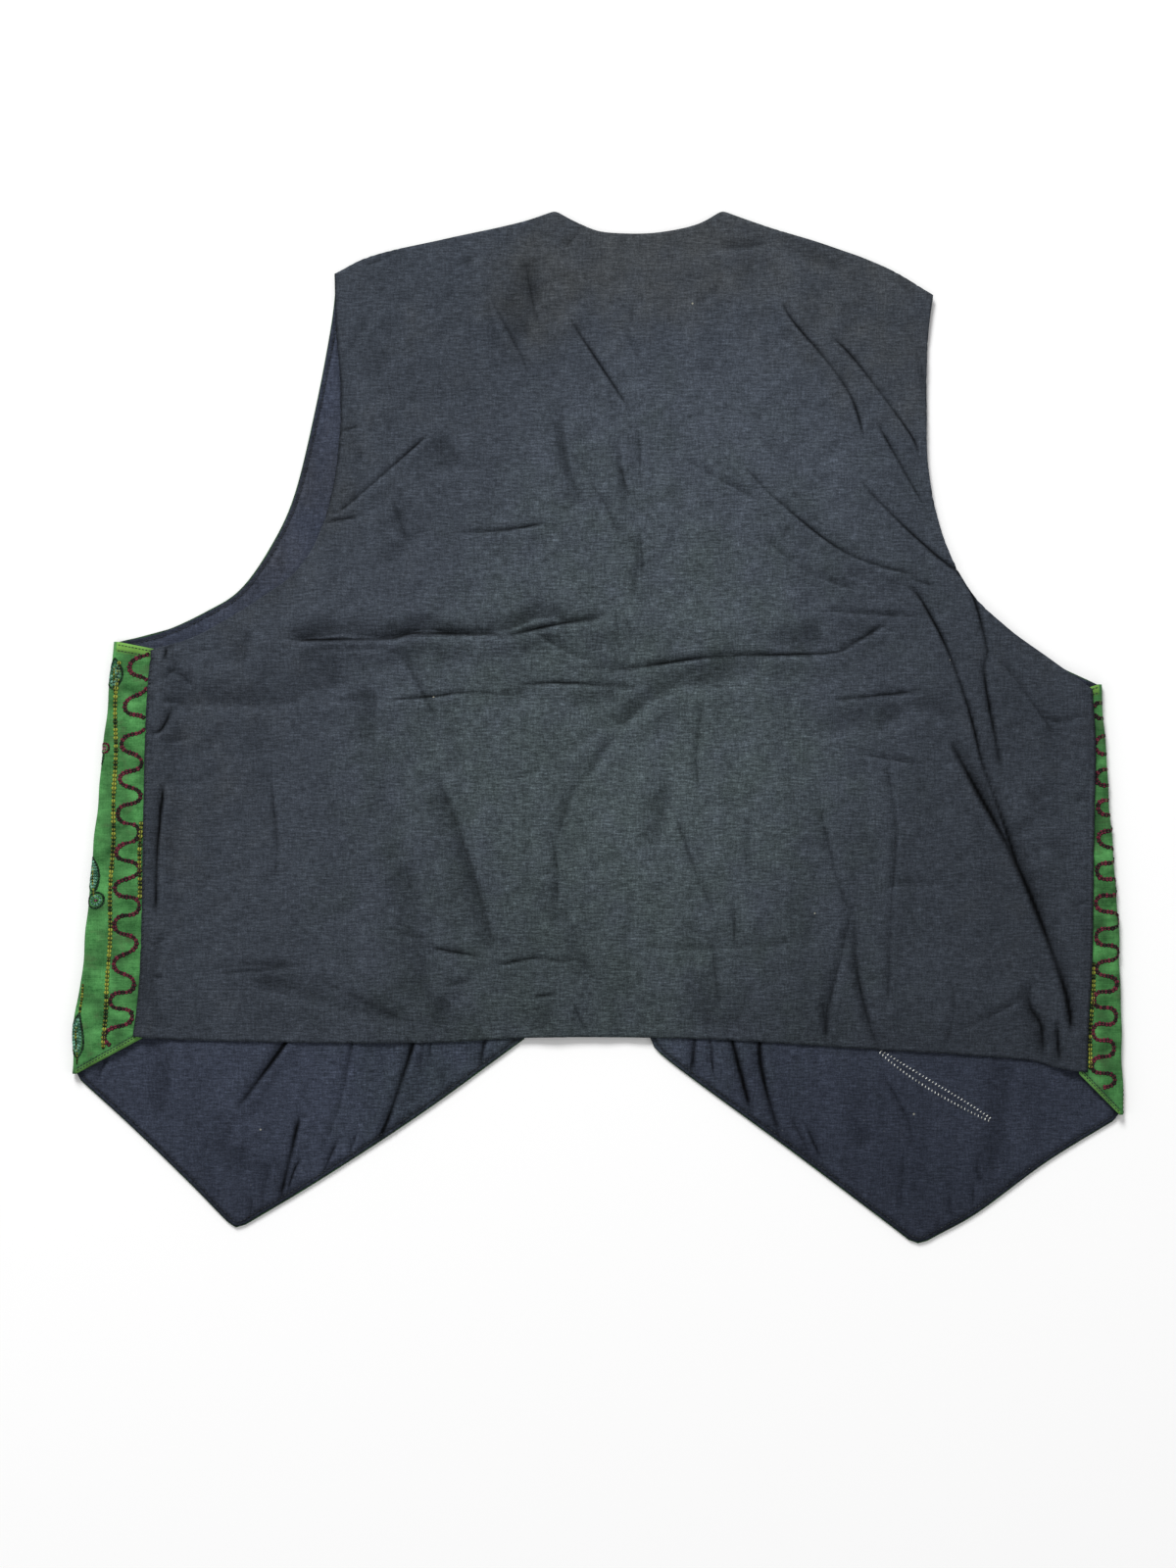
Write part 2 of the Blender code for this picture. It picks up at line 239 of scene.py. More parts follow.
BACK_CREASES = creases(
    (SHARP, (
        ((-187, 54), (-128, 55), (-113, 58), (-66, 58), (-56, 57), (-18, 65), (4, 68)),
        ((-275, -2), (-267, -1), (-259, 14)), ((-263, 50), (-265, 42)),
        ((-6, 38), (19, 37), (72, 44), (140, 46), (154, 51), (176, 64)),
        ((200, 110), (219, 97), (227, 86), (232, 73), (238, 47), (236, 34), (247, -28)),
        ((187, 88), (196, 81), (213, 50), (227, 11), (235, -21), (246, -52), (259, -90)),
        ((280, -178), (282, -205)),
    )),
    (HAIR, (
        ((-103, 180), (-154, 136), (-164, 132)), ((-168, 126), (-145, 130)), ((-157, 182), (-146, 185)),
        ((-89, 120), (-60, 121), (-29, 126)), ((-17, 250), (20, 194)),
        ((112, 261), (119, 249), (140, 224), (155, 202), (163, 177)),
        ((142, 240), (158, 224), (191, 180), (196, 166)), ((171, 186), (200, 135)),
        ((90, 160), (108, 141), (144, 112), (167, 101), (193, 94)), ((162, 149), (191, 120), (221, 94)),
        ((190, 92), (207, 87)), ((-48, 27), (-22, 28), (27, 25)), ((-107, -133), (-68, -140)),
        ((-64, -145), (-37, -140), (-26, -142), (-10, -141)), ((-40, -164), (-23, -162)),
        ((-16, -166), (-7, -186)), ((141, 17), (197, 23)), ((-130, 17.5), (-98, 20), (-85, 22), (-48, 21)),
    )),
    (SOFT, (
        ((-23, 192), (-20, 164), (-10, 134)), ((73, 294), (95, 295), (108, 300)),
        ((10, -4), (-6, -29), (-16, -38), (-18, -47), (-28, -73)),
        ((-99, -27), (-84, -66), (-72, -104), (-64, -136)),
    )),
    (LONG, (
        ((214.5, -6), (251.5, -74), (267, -108), (285, -158), (289.5, -187)),
    )),
    (DEEP, (
        ((267, -155), (263, -162), (265, -172), (271, -182), (272, -203)),
    )),
    (NARROW, (
        ((-265, -32), (-267, -52), (-269, -74), (-270, -114)),
    )),
    (BROAD, (
        ((-190, 54), (-160, 58), (-128, 56), (-104, 61), (-84, 57), (-56, 61), (-34, 69), (-12, 65), (6, 70)),
        ((10, 2), (18, 5), (32, 18), (52, 25)),
    )),
    (TUCK, (
        ((154, -112), (150, -133), (141, -168), (139, -194)),
        ((156, -114), (158, -146), (165, -178), (173, -199)), ((-265, 36), (-256, 34), (-247, 26)),
    )),
    (FINE, (
        ((-67, 266), (-52, 238), (-40, 214)), ((-45, 288), (-40, 262), (-36, 244)),
        ((-4, 150), (6, 134), (15, 112)), ((12, 176), (15, 152), (18, 131)),
        ((24, 118), (24, 98), (21, 77)), ((-124, 137), (-120, 124), (-115, 112)),
        ((-29, -62), (-25, -88), (-26, -116)), ((83, -104), (84, -136)), ((48, -55), (60, -88), (72, -116)),
        ((175, -18), (182, -60), (179, -112), (177, -171)), ((-176, -150), (-150, -164), (-116, -179)),
        ((-240, -148), (-216, -144), (-184, -146)), ((-270, -4), (-262, -8), (-250, -6)),
        ((-270, 14), (-262, 17), (-252, 14)), ((-272, -132), (-263, -128)), ((-274, -150), (-264, -153)),
        ((299, -40), (290, -46)), ((300, -78), (291, -82)), ((300, -104), (289, -110)),
        ((296, 8), (282, 4), (270, 8)), ((-40, 60), (-12, 44), (20, 38)),
        ((100, 118), (128, 96), (160, 84)), ((196, 230), (202, 196), (206, 168)),
        ((-164, 236), (-160, 200), (-163, 168)), ((64, 20), (60, -18), (62, -40)),
        ((-200, -30), (-196, -72), (-198, -98)), ((-145, 170), (-145, 162)), ((-145, 281), (-123, 291)),
        ((-88, 283), (-73, 287)), ((14, 248), (28, 220)), ((21, 256), (21, 246)), ((12, 164), (19, 141)),
        ((25, 181), (26, 158)), ((26, 119), (27, 98), (26, 91)), ((-21, 293), (-8, 307)),
        ((182, 275), (191, 267)), ((52, 165), (99, 139)), ((-251, 46), (-233, 49)),
        ((-177, 48), (-136, 49), (-123, 46), (-115, 37), (-98, 4)), ((-268, 28), (-258, 37)),
        ((10, 76), (14, 43)), ((17, 67), (22, 55)), ((-57, -32), (-33, -25)), ((136, 72), (200, 68)),
        ((156, -15), (200, -22)), ((135, -46), (145, -88), (154, -113)), ((137, -162), (140, -193)),
        ((242, 44), (254, 32), (281, -6)), ((215, -154), (218, -167), (212, -198)),
        ((217, -184), (231, -180), (260, -165)), ((-237, -150), (-186, -146)), ((-123, -125), (-103, -129)),
        ((-95, -158), (-76, -154)), ((-34, -90), (-26, -86)),
        ((50, -118), (66, -128), (70, -135), (74, -172)),
    )),
    (WIDE, (
        ((-127, 232), (-138, 209)), ((53, 25), (72, 34), (90, 45)), ((-41, 289), (-37, 256)),
        ((-58, 264), (-43, 235)), ((-92, 178), (-87, 156)), ((-126, 140), (-113, 110)),
        ((108, 300), (119, 293), (142, 284), (152, 277)),
        ((-259, 14), (-236, 16), (-194, 16), (-177, 24), (-150, 29)), ((-213, 62), (-218, 36)),
        ((-138, 26), (-138, -1), (-143, -16)), ((-101, -38), (-91, -55), (-64, -138)),
        ((-54, 16), (-41, 21), (-30, 22)), ((-20, 12), (-2, 15), (15, 23)),
        ((36, 22), (54, 29), (72, 28), (102, 40)), ((104, 53), (124, 51), (142, 54)),
        ((38, -34), (42, -41), (33, -77)), ((134, -4), (156, 2), (171, 2), (188, 11)),
        ((191, 13), (207, 12), (213, 8), (222, 11)), ((264, -36), (272, -57)), ((275, -69), (290, -84)),
        ((-267, -123), (-272, -158), (-265, -188)), ((-213, -155), (-116, -180)),
        ((-116, -82), (-108, -145), (-108, -172)), ((-94, -163), (-92, -190)),
        ((-37, -96), (-32, -108), (-26, -117), (-20, -110)),
        ((-8, -120), (-13, -124), (-12, -135), (-4, -156)), ((-30, -166), (-32, -180), (-44, -186)),
        ((67, -147), (67, -172), (73, -188)),
    )),
    (FAINT, (
        ((-137, 252), (-154, 227)), ((-209, 16), (-170, 16.5), (-130, 17.5)),
        ((117, 20), (118, -34), (122, -61)), ((96, -30), (92, -70), (94, -96)),
        ((23, -92), (19, -126), (19, -170)), ((-68, 267), (-62, 224)), ((99, 178), (117, 157)),
        ((61, 258), (79, 272)), ((-273, -33), (-264, -27)), ((-85, -1), (-86, -25)), ((0, -45), (19, -40)),
        ((38, -70), (50, -70)), ((265, -142), (274, -153)), ((175, -96), (211, -95)),
        ((118, -101), (120, -124)), ((129, -111), (133, -136)), ((23, -96), (43, -100)),
        ((22, -134), (56, -135), (120, -132)),
    )),
)
LINING_CREASES = creases(
    (PLEAT, (
        ((-186, -180), (-191, -192), (-221, -233)),
        ((-111, -182), (-113, -193), (-128, -238), (-136, -254)), ((-182, -235), (-195, -290)),
        ((-68, -186), (-73, -208)), ((60, -182), (57, -212)), ((80, -180), (82, -190), (94, -236)),
        ((99, -182), (100, -208), (111, -250)),
    )),
    (HAIR, (
        ((-181, -262), (-186, -271), (-190, -285)), ((-159, -251), (-169, -274)),
        ((-147, -246), (-153, -262)), ((-100, -184), (-104, -204)), ((68, -184), (71, -214)),
        ((126, -240), (137, -264)),
    )),
    (FINE, (
        ((-149, -184), (-150, -192), (-157, -226), (-167, -256)), ((176, -214), (190, -241), (192, -261)),
        ((187, -261), (185, -295)), ((-106, -188), (-109, -208)), ((-141, -249), (-146, -262)),
        ((-201, -266), (-206, -295)), ((-211, -287), (-213, -300)), ((-300, -201), (-307, -217)),
        ((-92, -206), (-97, -228)), ((-207, 93), (-208, 80)), ((-193, 107), (-193, 93)),
        ((-236, 72), (-236, 65)), ((116, -234), (131, -263)), ((231, -266), (235, -279)),
        ((230, -279), (229, -293)), ((215, -282), (216, -306)), ((208, -300), (209, -309)),
    )),
    (WIDE, (
        ((-222, -235), (-232, -262)), ((-262, -197), (-268, -240)), ((-218, -255), (-218, -269)),
        ((254, -203), (249, -225), (246, -250), (239, -277)), ((157, -255), (170, -248)),
    )),
    (FAINT, (
        ((-238, -244), (-244, -278)), ((150, -261), (154, -277)), ((193, -277), (197, -288)),
    )),
)

# ---- how light and how brownish the charcoal cloth is, from place to place
TONES = rows(
    Tone,
    (30, -40, 100, 1.15, -0.75), (20, 110, 80, 1.08, -0.5), (60, 190, 60, 1.04, -0.1),
    (40, 290, 45, 0.8, 0.8), (-36, 264, 28, 0.76, 0.9), (150, 280, 60, 0.82, 0.5),
    (-110, 220, 80, 0.8, 0.1), (-176, 150, 24, 0.68, 0.9), (-208, 104, 24, 0.7, 0.8),
    (-150, 90, 70, 0.84, 0.1), (-60, 10, 70, 1.04, -0.7), (-240, -60, 70, 0.74, 0.2),
    (-140, -100, 60, 0.8, -0.3), (-180, -170, 60, 0.74, 0.0), (-20, -150, 60, 0.8, -0.7),
    (-230, -230, 50, 0.66, 0.0), (-225, -280, 30, 0.5, 0.0), (200, -290, 30, 0.4, 0.0),
    (-120, -200, 40, 0.62, -0.6), (180, 60, 60, 0.78, -0.1), (250, 10, 50, 0.62, 0.1),
    (230, -110, 60, 0.58, 0.1), (150, -110, 60, 0.68, -0.3), (110, -190, 50, 0.58, -0.3),
    (160, -260, 60, 0.48, 0.0), (240, -240, 50, 0.52, 0.0), (300, -60, 30, 0.72, -0.2),
)


# ---- plan geometry
def curve(points, cells):
    """Even points along a smooth curve through the given ones, ends included."""
    fixed = np.array(points, float)
    padded = np.vstack([2 * fixed[0] - fixed[1], fixed, 2 * fixed[-1] - fixed[-2]])
    dense = [fixed[0]]
    for index in range(len(fixed) - 1):
        before, start, end, after = padded[index : index + 4]
        for step in range(1, CURVE_STEPS + 1):
            t = step / CURVE_STEPS
            dense.append(
                start
                + 0.5 * t * (end - before)
                + t**2 * (before - 2.5 * start + 2 * end - 0.5 * after)
                + 0.5 * t**3 * (3 * start - 3 * end + after - before)
            )
    return resample(np.array(dense), cells)


def run_of(line):
    """Distance along a line of points to each of them."""
    return np.concatenate([[0.0], np.cumsum(np.linalg.norm(np.diff(line, axis=0), axis=1))])


def at_stops(line, stops):
    run = run_of(line)
    return np.column_stack([np.interp(stops, run, line[:, axis]) for axis in range(line.shape[1])])


def resample(line, cells):
    return at_stops(line, np.linspace(0.0, run_of(line)[-1], cells + 1))


def chain(*curves):
    """Curves that meet end to end as one run of points."""
    return np.vstack([curves[0]] + [part[1:] for part in curves[1:]])


def rounded(line, passes):
    """A line with its corners softened; its ends stay."""
    soft = line.copy()
    for _ in range(passes):
        soft[1:-1] = (soft[:-2] + 2 * soft[1:-1] + soft[2:]) / 4
    return soft


def station_side(stations, side):
    if side == "left":
        return [Edge(row.left_x, row.left_y) for row in stations]
    return [Edge(row.right_x, row.right_y) for row in stations]


def patch(bottom, top, left, right):
    """Grid of plan points between four edges, as rows from bottom to top."""
    u = (run_of(bottom) / run_of(bottom)[-1])[None, :, None]
    rows = np.linspace(0.0, 1.0, len(left))
    v = rows[:, None, None]
    across = (1 - u) * left[:, None] + u * right[:, None]
    along = (1 - v) * bottom[None] + v * top[None]
    corners = (1 - v) * ((1 - u) * bottom[0] + u * bottom[-1]) + v * ((1 - u) * top[0] + u * top[-1])
    return across + along - corners


def smooth_step(value):
    clipped = np.clip(value, 0.0, 1.0)
    return clipped * clipped * (3 - 2 * clipped)


def hump(value, width, centre=0.0):
    """1 where the value is at the centre, falling away to 0 on both sides of it."""
    return np.exp(-(((value - centre) / width) ** 2))


def rim_distance(plan, *rims):
    """Distance of each plan point from the nearest point of some edges."""
    rim = np.concatenate(rims)
    flat = plan.reshape(-1, 2)
    nearest = np.full(len(flat), np.inf)
    for point in rim:
        np.minimum(nearest, (flat[:, 0] - point[0]) ** 2 + (flat[:, 1] - point[1]) ** 2, out=nearest)
    return np.sqrt(nearest).reshape(plan.shape[:-1])


# ---- relief of the cloth
def ridges_height(plan, ridges):
    """Height of broad straight folds."""
    height = np.zeros(plan.shape[:-1])
    for ridge in ridges:
        start = np.array([ridge.x0, ridge.y0], float)
        run = np.array([ridge.x1, ridge.y1]) - start
        along = np.clip(((plan - start) @ run) / (run @ run), 0.0, 1.0)
        away = np.linalg.norm(plan - (start + along[..., None] * run), axis=-1)
        height += ridge.height * hump(away, ridge.width)
    return height


def nearest_on(line, points):
    """How points lie by a line: distance, positive on the lit side, place along it, offset, its length."""
    best = np.full(len(points), np.inf)
    signed = np.zeros(len(points))
    place = np.zeros(len(points))
    away_from = np.zeros((len(points), 2))
    gone = 0.0
    heading = line[-1] - line[0]
    lit = 1.0 if -heading[1] * LIGHT_SIDE[0] + heading[0] * LIGHT_SIDE[1] > 0 else -1.0
    for start, end in zip(line[:-1], line[1:]):
        step = end - start
        length = math.hypot(*step)
        held = np.clip((points - start) @ step / length**2, 0.0, 1.0)
        offset = points - start - held[:, None] * step
        away = np.hypot(offset[:, 0], offset[:, 1])
        closer = away < best
        side = lit * np.sign(step[0] * offset[:, 1] - step[1] * offset[:, 0])
        best[closer] = away[closer]
        signed[closer] = (away * side)[closer]
        place[closer] = gone + (held * length)[closer]
        away_from[closer] = offset[closer]
        gone += length
    return signed, place, away_from, gone


def near_line(plan, line, reach):
    """Which plan points are in a line's box, or within reach of it."""
    return np.all((plan > line.min(axis=0) - reach) & (plan < line.max(axis=0) + reach), axis=-1)


def crease_line(crease):
    return curve(crease.points, 6 * (len(crease.points) - 1))


def gather(plan, lines, keep):
    """The grid drawn closer together along sharp creases, so that they are crisp. Keep is 0 at the rims."""
    moved = plan.copy()
    for crease in lines:
        if crease.fold.width > GATHER_WIDEST:
            continue
        line = crease_line(crease)
        near = near_line(moved, line, 3 * GATHER_REACH)
        if not near.any():
            continue
        signed, _, offset, _ = nearest_on(line, moved[near])
        pull = GATHER_SHARE * hump(signed, GATHER_REACH)
        pull += (1 - GATHER_SHARE) * hump(signed, SNAP_REACH)
        pull *= keep[near]
        moved[near] -= pull[:, None] * offset
    return moved


# How strong a crease is along its length, and where its swell stands, in swell widths
TAPER, TAPER_SHARE, END_STRENGTH = 14.0, 0.4, 0.2
WAVER, WAVER_LENGTH = 0.25, 11.0
SWELL_PLACE = 0.9
# The most that the painted shade of creases may darken the cloth
DARKEST = 0.95


def crease_relief(plan, lines):
    """Height of creases and their painted shade: a slope away from the light, a sharp foot and a swell
    beyond.
    """
    height = np.zeros(plan.shape[:-1])
    dark = np.zeros(plan.shape[:-1])
    for number, crease in enumerate(lines):
        fold = crease.fold
        line = crease_line(crease)
        near = near_line(plan, line, 3 * max(fold.soft, fold.swell_width))
        if not near.any():
            continue
        signed, place, _, total = nearest_on(line, plan[near])
        taper = min(TAPER, TAPER_SHARE * total)
        ends = smooth_step(END_STRENGTH + place / taper) * smooth_step(END_STRENGTH + (total - place) / taper)
        strength = ends * (1 + WAVER * np.sin(place / WAVER_LENGTH + number))
        trough = hump(signed, np.where(signed > 0, fold.soft, fold.width))
        swell = hump(-signed - SWELL_PLACE * fold.swell_width, fold.swell_width)
        height[near] += strength * (fold.swell * swell - fold.depth * trough)
        # Painted shade: a dark line along the foot of the crease, and a darker slope on the side away from
        # the light
        core = fold.tint * hump(signed, fold.width)
        added = np.clip(strength * np.maximum(core, fold.shadow * trough), 0.0, DARKEST)
        dark[near] = 1 - (1 - dark[near]) * (1 - added)
    return height, dark


def unevenness(plan, seed, shortest, longest, waves=26):
    """Gentle random rise and fall, about 1 high, made of many crossing waves."""
    draw = np.random.default_rng(seed)
    height = np.zeros(plan.shape[:-1])
    for _ in range(waves):
        length = math.exp(draw.uniform(math.log(shortest), math.log(longest)))
        angle = draw.uniform(0, math.pi)
        phase = draw.uniform(0, 2 * math.pi)
        across = plan[..., 0] * math.cos(angle) + plan[..., 1] * math.sin(angle)
        height += np.sin(2 * math.pi * across / length + phase)
    return height / math.sqrt(waves / 2)


# Where the linings show: below one line, and above another in the armholes
LINING_SHOWN_Y, LINING_ARMHOLE_Y = -150.0, 50.0
LINING_LIFT, LINING_UNEVEN, LINING_LOWEST = 0.35, 0.22, -0.2


def lining_height(plan):
    """Height of a lining's folds and creases, and the painted shade of its creases; they die away under the
    back.
    """
    y = plan[..., 1]
    fade = smooth_step((LINING_SHOWN_Y - y) / 40.0)
    shown = np.maximum(fade, smooth_step((y - LINING_ARMHOLE_Y) / 15.0))
    folds, dark = crease_relief(plan, LINING_CREASES)
    height = fade * ridges_height(plan, LINING_RIDGES)
    height = height + shown * (folds + LINING_LIFT + LINING_UNEVEN * unevenness(plan, 5, 16, 60))
    return np.maximum(height, LINING_LOWEST), dark


def from_seam(plan, seam):
    """Distance of plan points from a side seam, straight across the vest."""
    return np.abs(plan[..., 0] - np.interp(plan[..., 1], seam[:, 1], seam[:, 0]))


def lap_height(plan, seams):
    """Height that the strips at the side seams add under the back."""
    height = np.zeros(plan.shape[:-1])
    for seam in seams:
        beside = 1 - smooth_step((from_seam(plan, seam) - LAP_FLAT) / (LAP_END - LAP_FLAT))
        above = 1 - smooth_step((plan[..., 1] - seam[-1, 1] - 0.3) / LAP_TOP_FADE)
        height = np.maximum(height, LAP_RISE * beside * above)
    return height


PUCKER_PITCH, PUCKER_HEIGHT, PUCKER_REACH = 10.5, 0.22, 14.0


def seam_pucker(plan, seams):
    """Short ripples that run out from the side seams."""
    y = plan[..., 1]
    rise = np.zeros(plan.shape[:-1])
    for seam in seams:
        ripple = np.sin(2 * math.pi * y / PUCKER_PITCH + 0.8 * np.sin(y / 17.0))
        below = 1 - smooth_step((y - seam[-1, 1]) / 20.0)
        rise += PUCKER_HEIGHT * below * hump(from_seam(plan, seam), PUCKER_REACH) * ripple
    return rise


def seam_allowance(plan, seams):
    """Distance inward from the nearer side seam; large above the armholes."""
    gaps = [from_seam(plan, seam) + 50.0 * (plan[..., 1] > seam[-1, 1]) for seam in seams]
    return np.minimum(*gaps)


PLAIN_WEIGHT, PLAIN_SHADE = 0.03, 0.75


def tone_of(plan):
    """How light and how brownish the charcoal cloth is, from place to place."""
    total = np.full(plan.shape[:-1], PLAIN_WEIGHT)
    shade = np.full(plan.shape[:-1], PLAIN_WEIGHT * PLAIN_SHADE)
    warm = np.zeros(plan.shape[:-1])
    for tone in TONES:
        squared = (plan[..., 0] - tone.x) ** 2 + (plan[..., 1] - tone.y) ** 2
        weight = np.exp(-(squared / tone.reach**2))
        total += weight
        shade += weight * tone.shade
        warm += weight * tone.warm
    return shade / total, warm / total


# ---- meshes
def add_piece(name, vertices, faces, material, values=None):
    """A new smooth mesh piece that rides on the vest. Values are numbers for each vertex, by name."""
    mesh = bpy.data.meshes.new(name)
    points = np.asarray(vertices, float) * METRES
    mesh.from_pydata(points.tolist(), [], faces)
    mesh.shade_smooth()
    for key, numbers in (values or {}).items():
        layer = mesh.attributes.new(key, "FLOAT", "POINT")
        layer.data.foreach_set("value", np.asarray(numbers, np.float32).ravel())
    mesh.materials.append(material)
    piece = bpy.data.objects.new(name, mesh)
    bpy.context.scene.collection.objects.link(piece)
    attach(piece, BODY)
    return piece


def grid_faces(index, facing_up=True):
    low_left, low_right = index[:-1, :-1], index[:-1, 1:]
    high_right, high_left = index[1:, 1:], index[1:, :-1]
    quads = np.stack([low_left, low_right, high_right, high_left], axis=-1).reshape(-1, 4)
    return (quads if facing_up else quads[:, ::-1]).tolist()


def lowest_near(height, reach):
    """Each place's lowest height within some cells of it."""
    low = height.copy()
    for axis in (0, 1):
        spread = low.copy()
        for shift in range(1, reach + 1):
            for way in (-shift, shift):
                moved = np.roll(low, way, axis=axis)
                edge = [slice(None), slice(None)]
                edge[axis] = slice(0, way) if way > 0 else slice(way, None)
                moved[tuple(edge)] = np.inf
                spread = np.minimum(spread, moved)
        low = spread
    return low


def walled(plan, height, stride):
    """A closed wall with a fine upper side and a coarse under side, as vertices and faces."""
    top = np.dstack([plan, height + WALL / 2])
    for edge in (np.s_[0, :, 2], np.s_[-1, :, 2], np.s_[:, 0, 2], np.s_[:, -1, 2]):
        top[edge] -= 0.2 * WALL
    low = lowest_near(height, stride)[::stride, ::stride] - WALL / 2
    under = np.dstack([plan[::stride, ::stride], low])
    upper = np.arange(top.shape[0] * top.shape[1]).reshape(top.shape[:2])
    lower = upper.size + np.arange(low.size).reshape(low.shape)
    faces = grid_faces(upper) + grid_faces(lower, facing_up=False)
    rims = (
        (upper[0], lower[0]),
        (upper[:, -1], lower[:, -1]),
        (upper[-1][::-1], lower[-1][::-1]),
        (upper[:, 0][::-1], lower[:, 0][::-1]),
    )
    for fine, coarse in rims:
        for cell in range(len(coarse) - 1):
            above = fine[cell * stride : (cell + 1) * stride + 1][::-1]
            faces.append([int(coarse[cell]), int(coarse[cell + 1])] + [int(one) for one in above])
    vertices = np.vstack([top.reshape(-1, 3), under.reshape(-1, 3)])
    return vertices, faces


def solidify(piece, thickness):
    wall = piece.modifiers.new("wall", "SOLIDIFY")
    wall.thickness = thickness * METRES
    wall.offset = 0.0


# ---- materials
def srgb(red, green, blue):
    """Linear colour from everyday values of 0 to 255."""
    parts = [value / 255 for value in (red, green, blue)]
    linear = [part / 12.92 if part <= 0.04045 else ((part + 0.055) / 1.055) ** 2.4 for part in parts]
    return (*linear, 1.0)


class Finish:
    """A Principled material with short ways to add the nodes that colour it."""

    def __init__(self, name, roughness, sheen=0.0, specular=0.25):
        self.material = bpy.data.materials.new(name)
        self.material.use_nodes = True
        self.tree = self.material.node_tree
        self.shader = self.tree.nodes["Principled BSDF"]
        self.shader.inputs["Roughness"].default_value = roughness
        self.shader.inputs["Sheen Weight"].default_value = sheen
        self.shader.inputs["Specular IOR Level"].default_value = specular
        self.place = self.tree.nodes.new("ShaderNodeTexCoord").outputs["Object"]

    def put(self, socket, value):
        if isinstance(value, bpy.types.NodeSocket):
            self.tree.links.new(value, socket)
        else:
            socket.default_value = value

    def noise(self, scale, detail=2.0, roughness=0.5):
        """Noise of 0 to 1; scale is the number of cells in a metre along X, Y and Z."""
        mapping = self.tree.nodes.new("ShaderNodeMapping")
        mapping.inputs["Scale"].default_value = scale
        self.tree.links.new(self.place, mapping.inputs["Vector"])
        texture = self.tree.nodes.new("ShaderNodeTexNoise")
        texture.inputs["Scale"].default_value = 1.0
        texture.inputs["Detail"].default_value = detail
        texture.inputs["Roughness"].default_value = roughness
        self.tree.links.new(mapping.outputs["Vector"], texture.inputs["Vector"])
        return texture.outputs["Fac"]

    def math(self, operation, first, second=0.0):
        node = self.tree.nodes.new("ShaderNodeMath")
        node.operation = operation
        self.put(node.inputs[0], first)
        self.put(node.inputs[1], second)
        return node.outputs[0]

    def multiply(self, first, second):
        return self.math("MULTIPLY", first, second)

    def total(self, value, *shares):
        """A value with each noise about its middle added, times its share."""
        for noise, share in shares:
            value = self.math("ADD", value, self.multiply(self.math("SUBTRACT", noise, 0.5), share))
        return value

    def spread(self, value, low, high, to_low=0.0, to_high=1.0):
        node = self.tree.nodes.new("ShaderNodeMapRange")
        node.interpolation_type = "SMOOTHSTEP"
        self.put(node.inputs["Value"], value)
        node.inputs["From Min"].default_value = low
        node.inputs["From Max"].default_value = high
        node.inputs["To Min"].default_value = to_low
        node.inputs["To Max"].default_value = to_high
        return node.outputs["Result"]

    def mix(self, amount, first, second, blend="MIX"):
        node = self.tree.nodes.new("ShaderNodeMix")
        node.data_type = "RGBA"
        node.blend_type = blend
        self.put(node.inputs[0], amount)
        self.put(node.inputs[6], first)
        self.put(node.inputs[7], second)
        return node.outputs[2]

    def value(self, name):
        node = self.tree.nodes.new("ShaderNodeAttribute")
        node.attribute_name = name
        return node.outputs["Fac"]

    def times(self, colour, amount):
        """Colour made lighter or darker by a number."""
        combine = self.tree.nodes.new("ShaderNodeCombineColor")
        for channel in combine.inputs:
            self.put(channel, amount)
        return self.mix(1.0, colour, combine.outputs["Color"], "MULTIPLY")

    def specks(self, scale, size, share):
        """Tiny scattered marks: 1 inside a mark."""
        texture = self.tree.nodes.new("ShaderNodeTexVoronoi")
        texture.inputs["Scale"].default_value = scale
        self.tree.links.new(self.place, texture.inputs["Vector"])
        near = self.math("LESS_THAN", texture.outputs["Distance"], size)
        split = self.tree.nodes.new("ShaderNodeSeparateColor")
        self.tree.links.new(texture.outputs["Color"], split.inputs["Color"])
        picked = self.math("LESS_THAN", split.outputs["Red"], share)
        return self.math("MULTIPLY", near, picked)

    def bump(self, height, strength, distance):
        node = self.tree.nodes.new("ShaderNodeBump")
        node.inputs["Strength"].default_value = strength
        node.inputs["Distance"].default_value = distance
        self.put(node.inputs["Height"], height)
        self.tree.links.new(node.outputs["Normal"], self.shader.inputs["Normal"])

    def colour(self, socket):
        self.put(self.shader.inputs["Base Color"], socket)
        return self.material


# Tints of faded charcoal, cells of the finest grain in a metre, and the weave's relief in metres
BROWNISH, GREENISH = (1.17, 1.08, 0.92, 1), (0.97, 1.05, 0.87, 1)
GRAIN = (1100, 1100, 1)
WEAVE_RELIEF = 0.0003


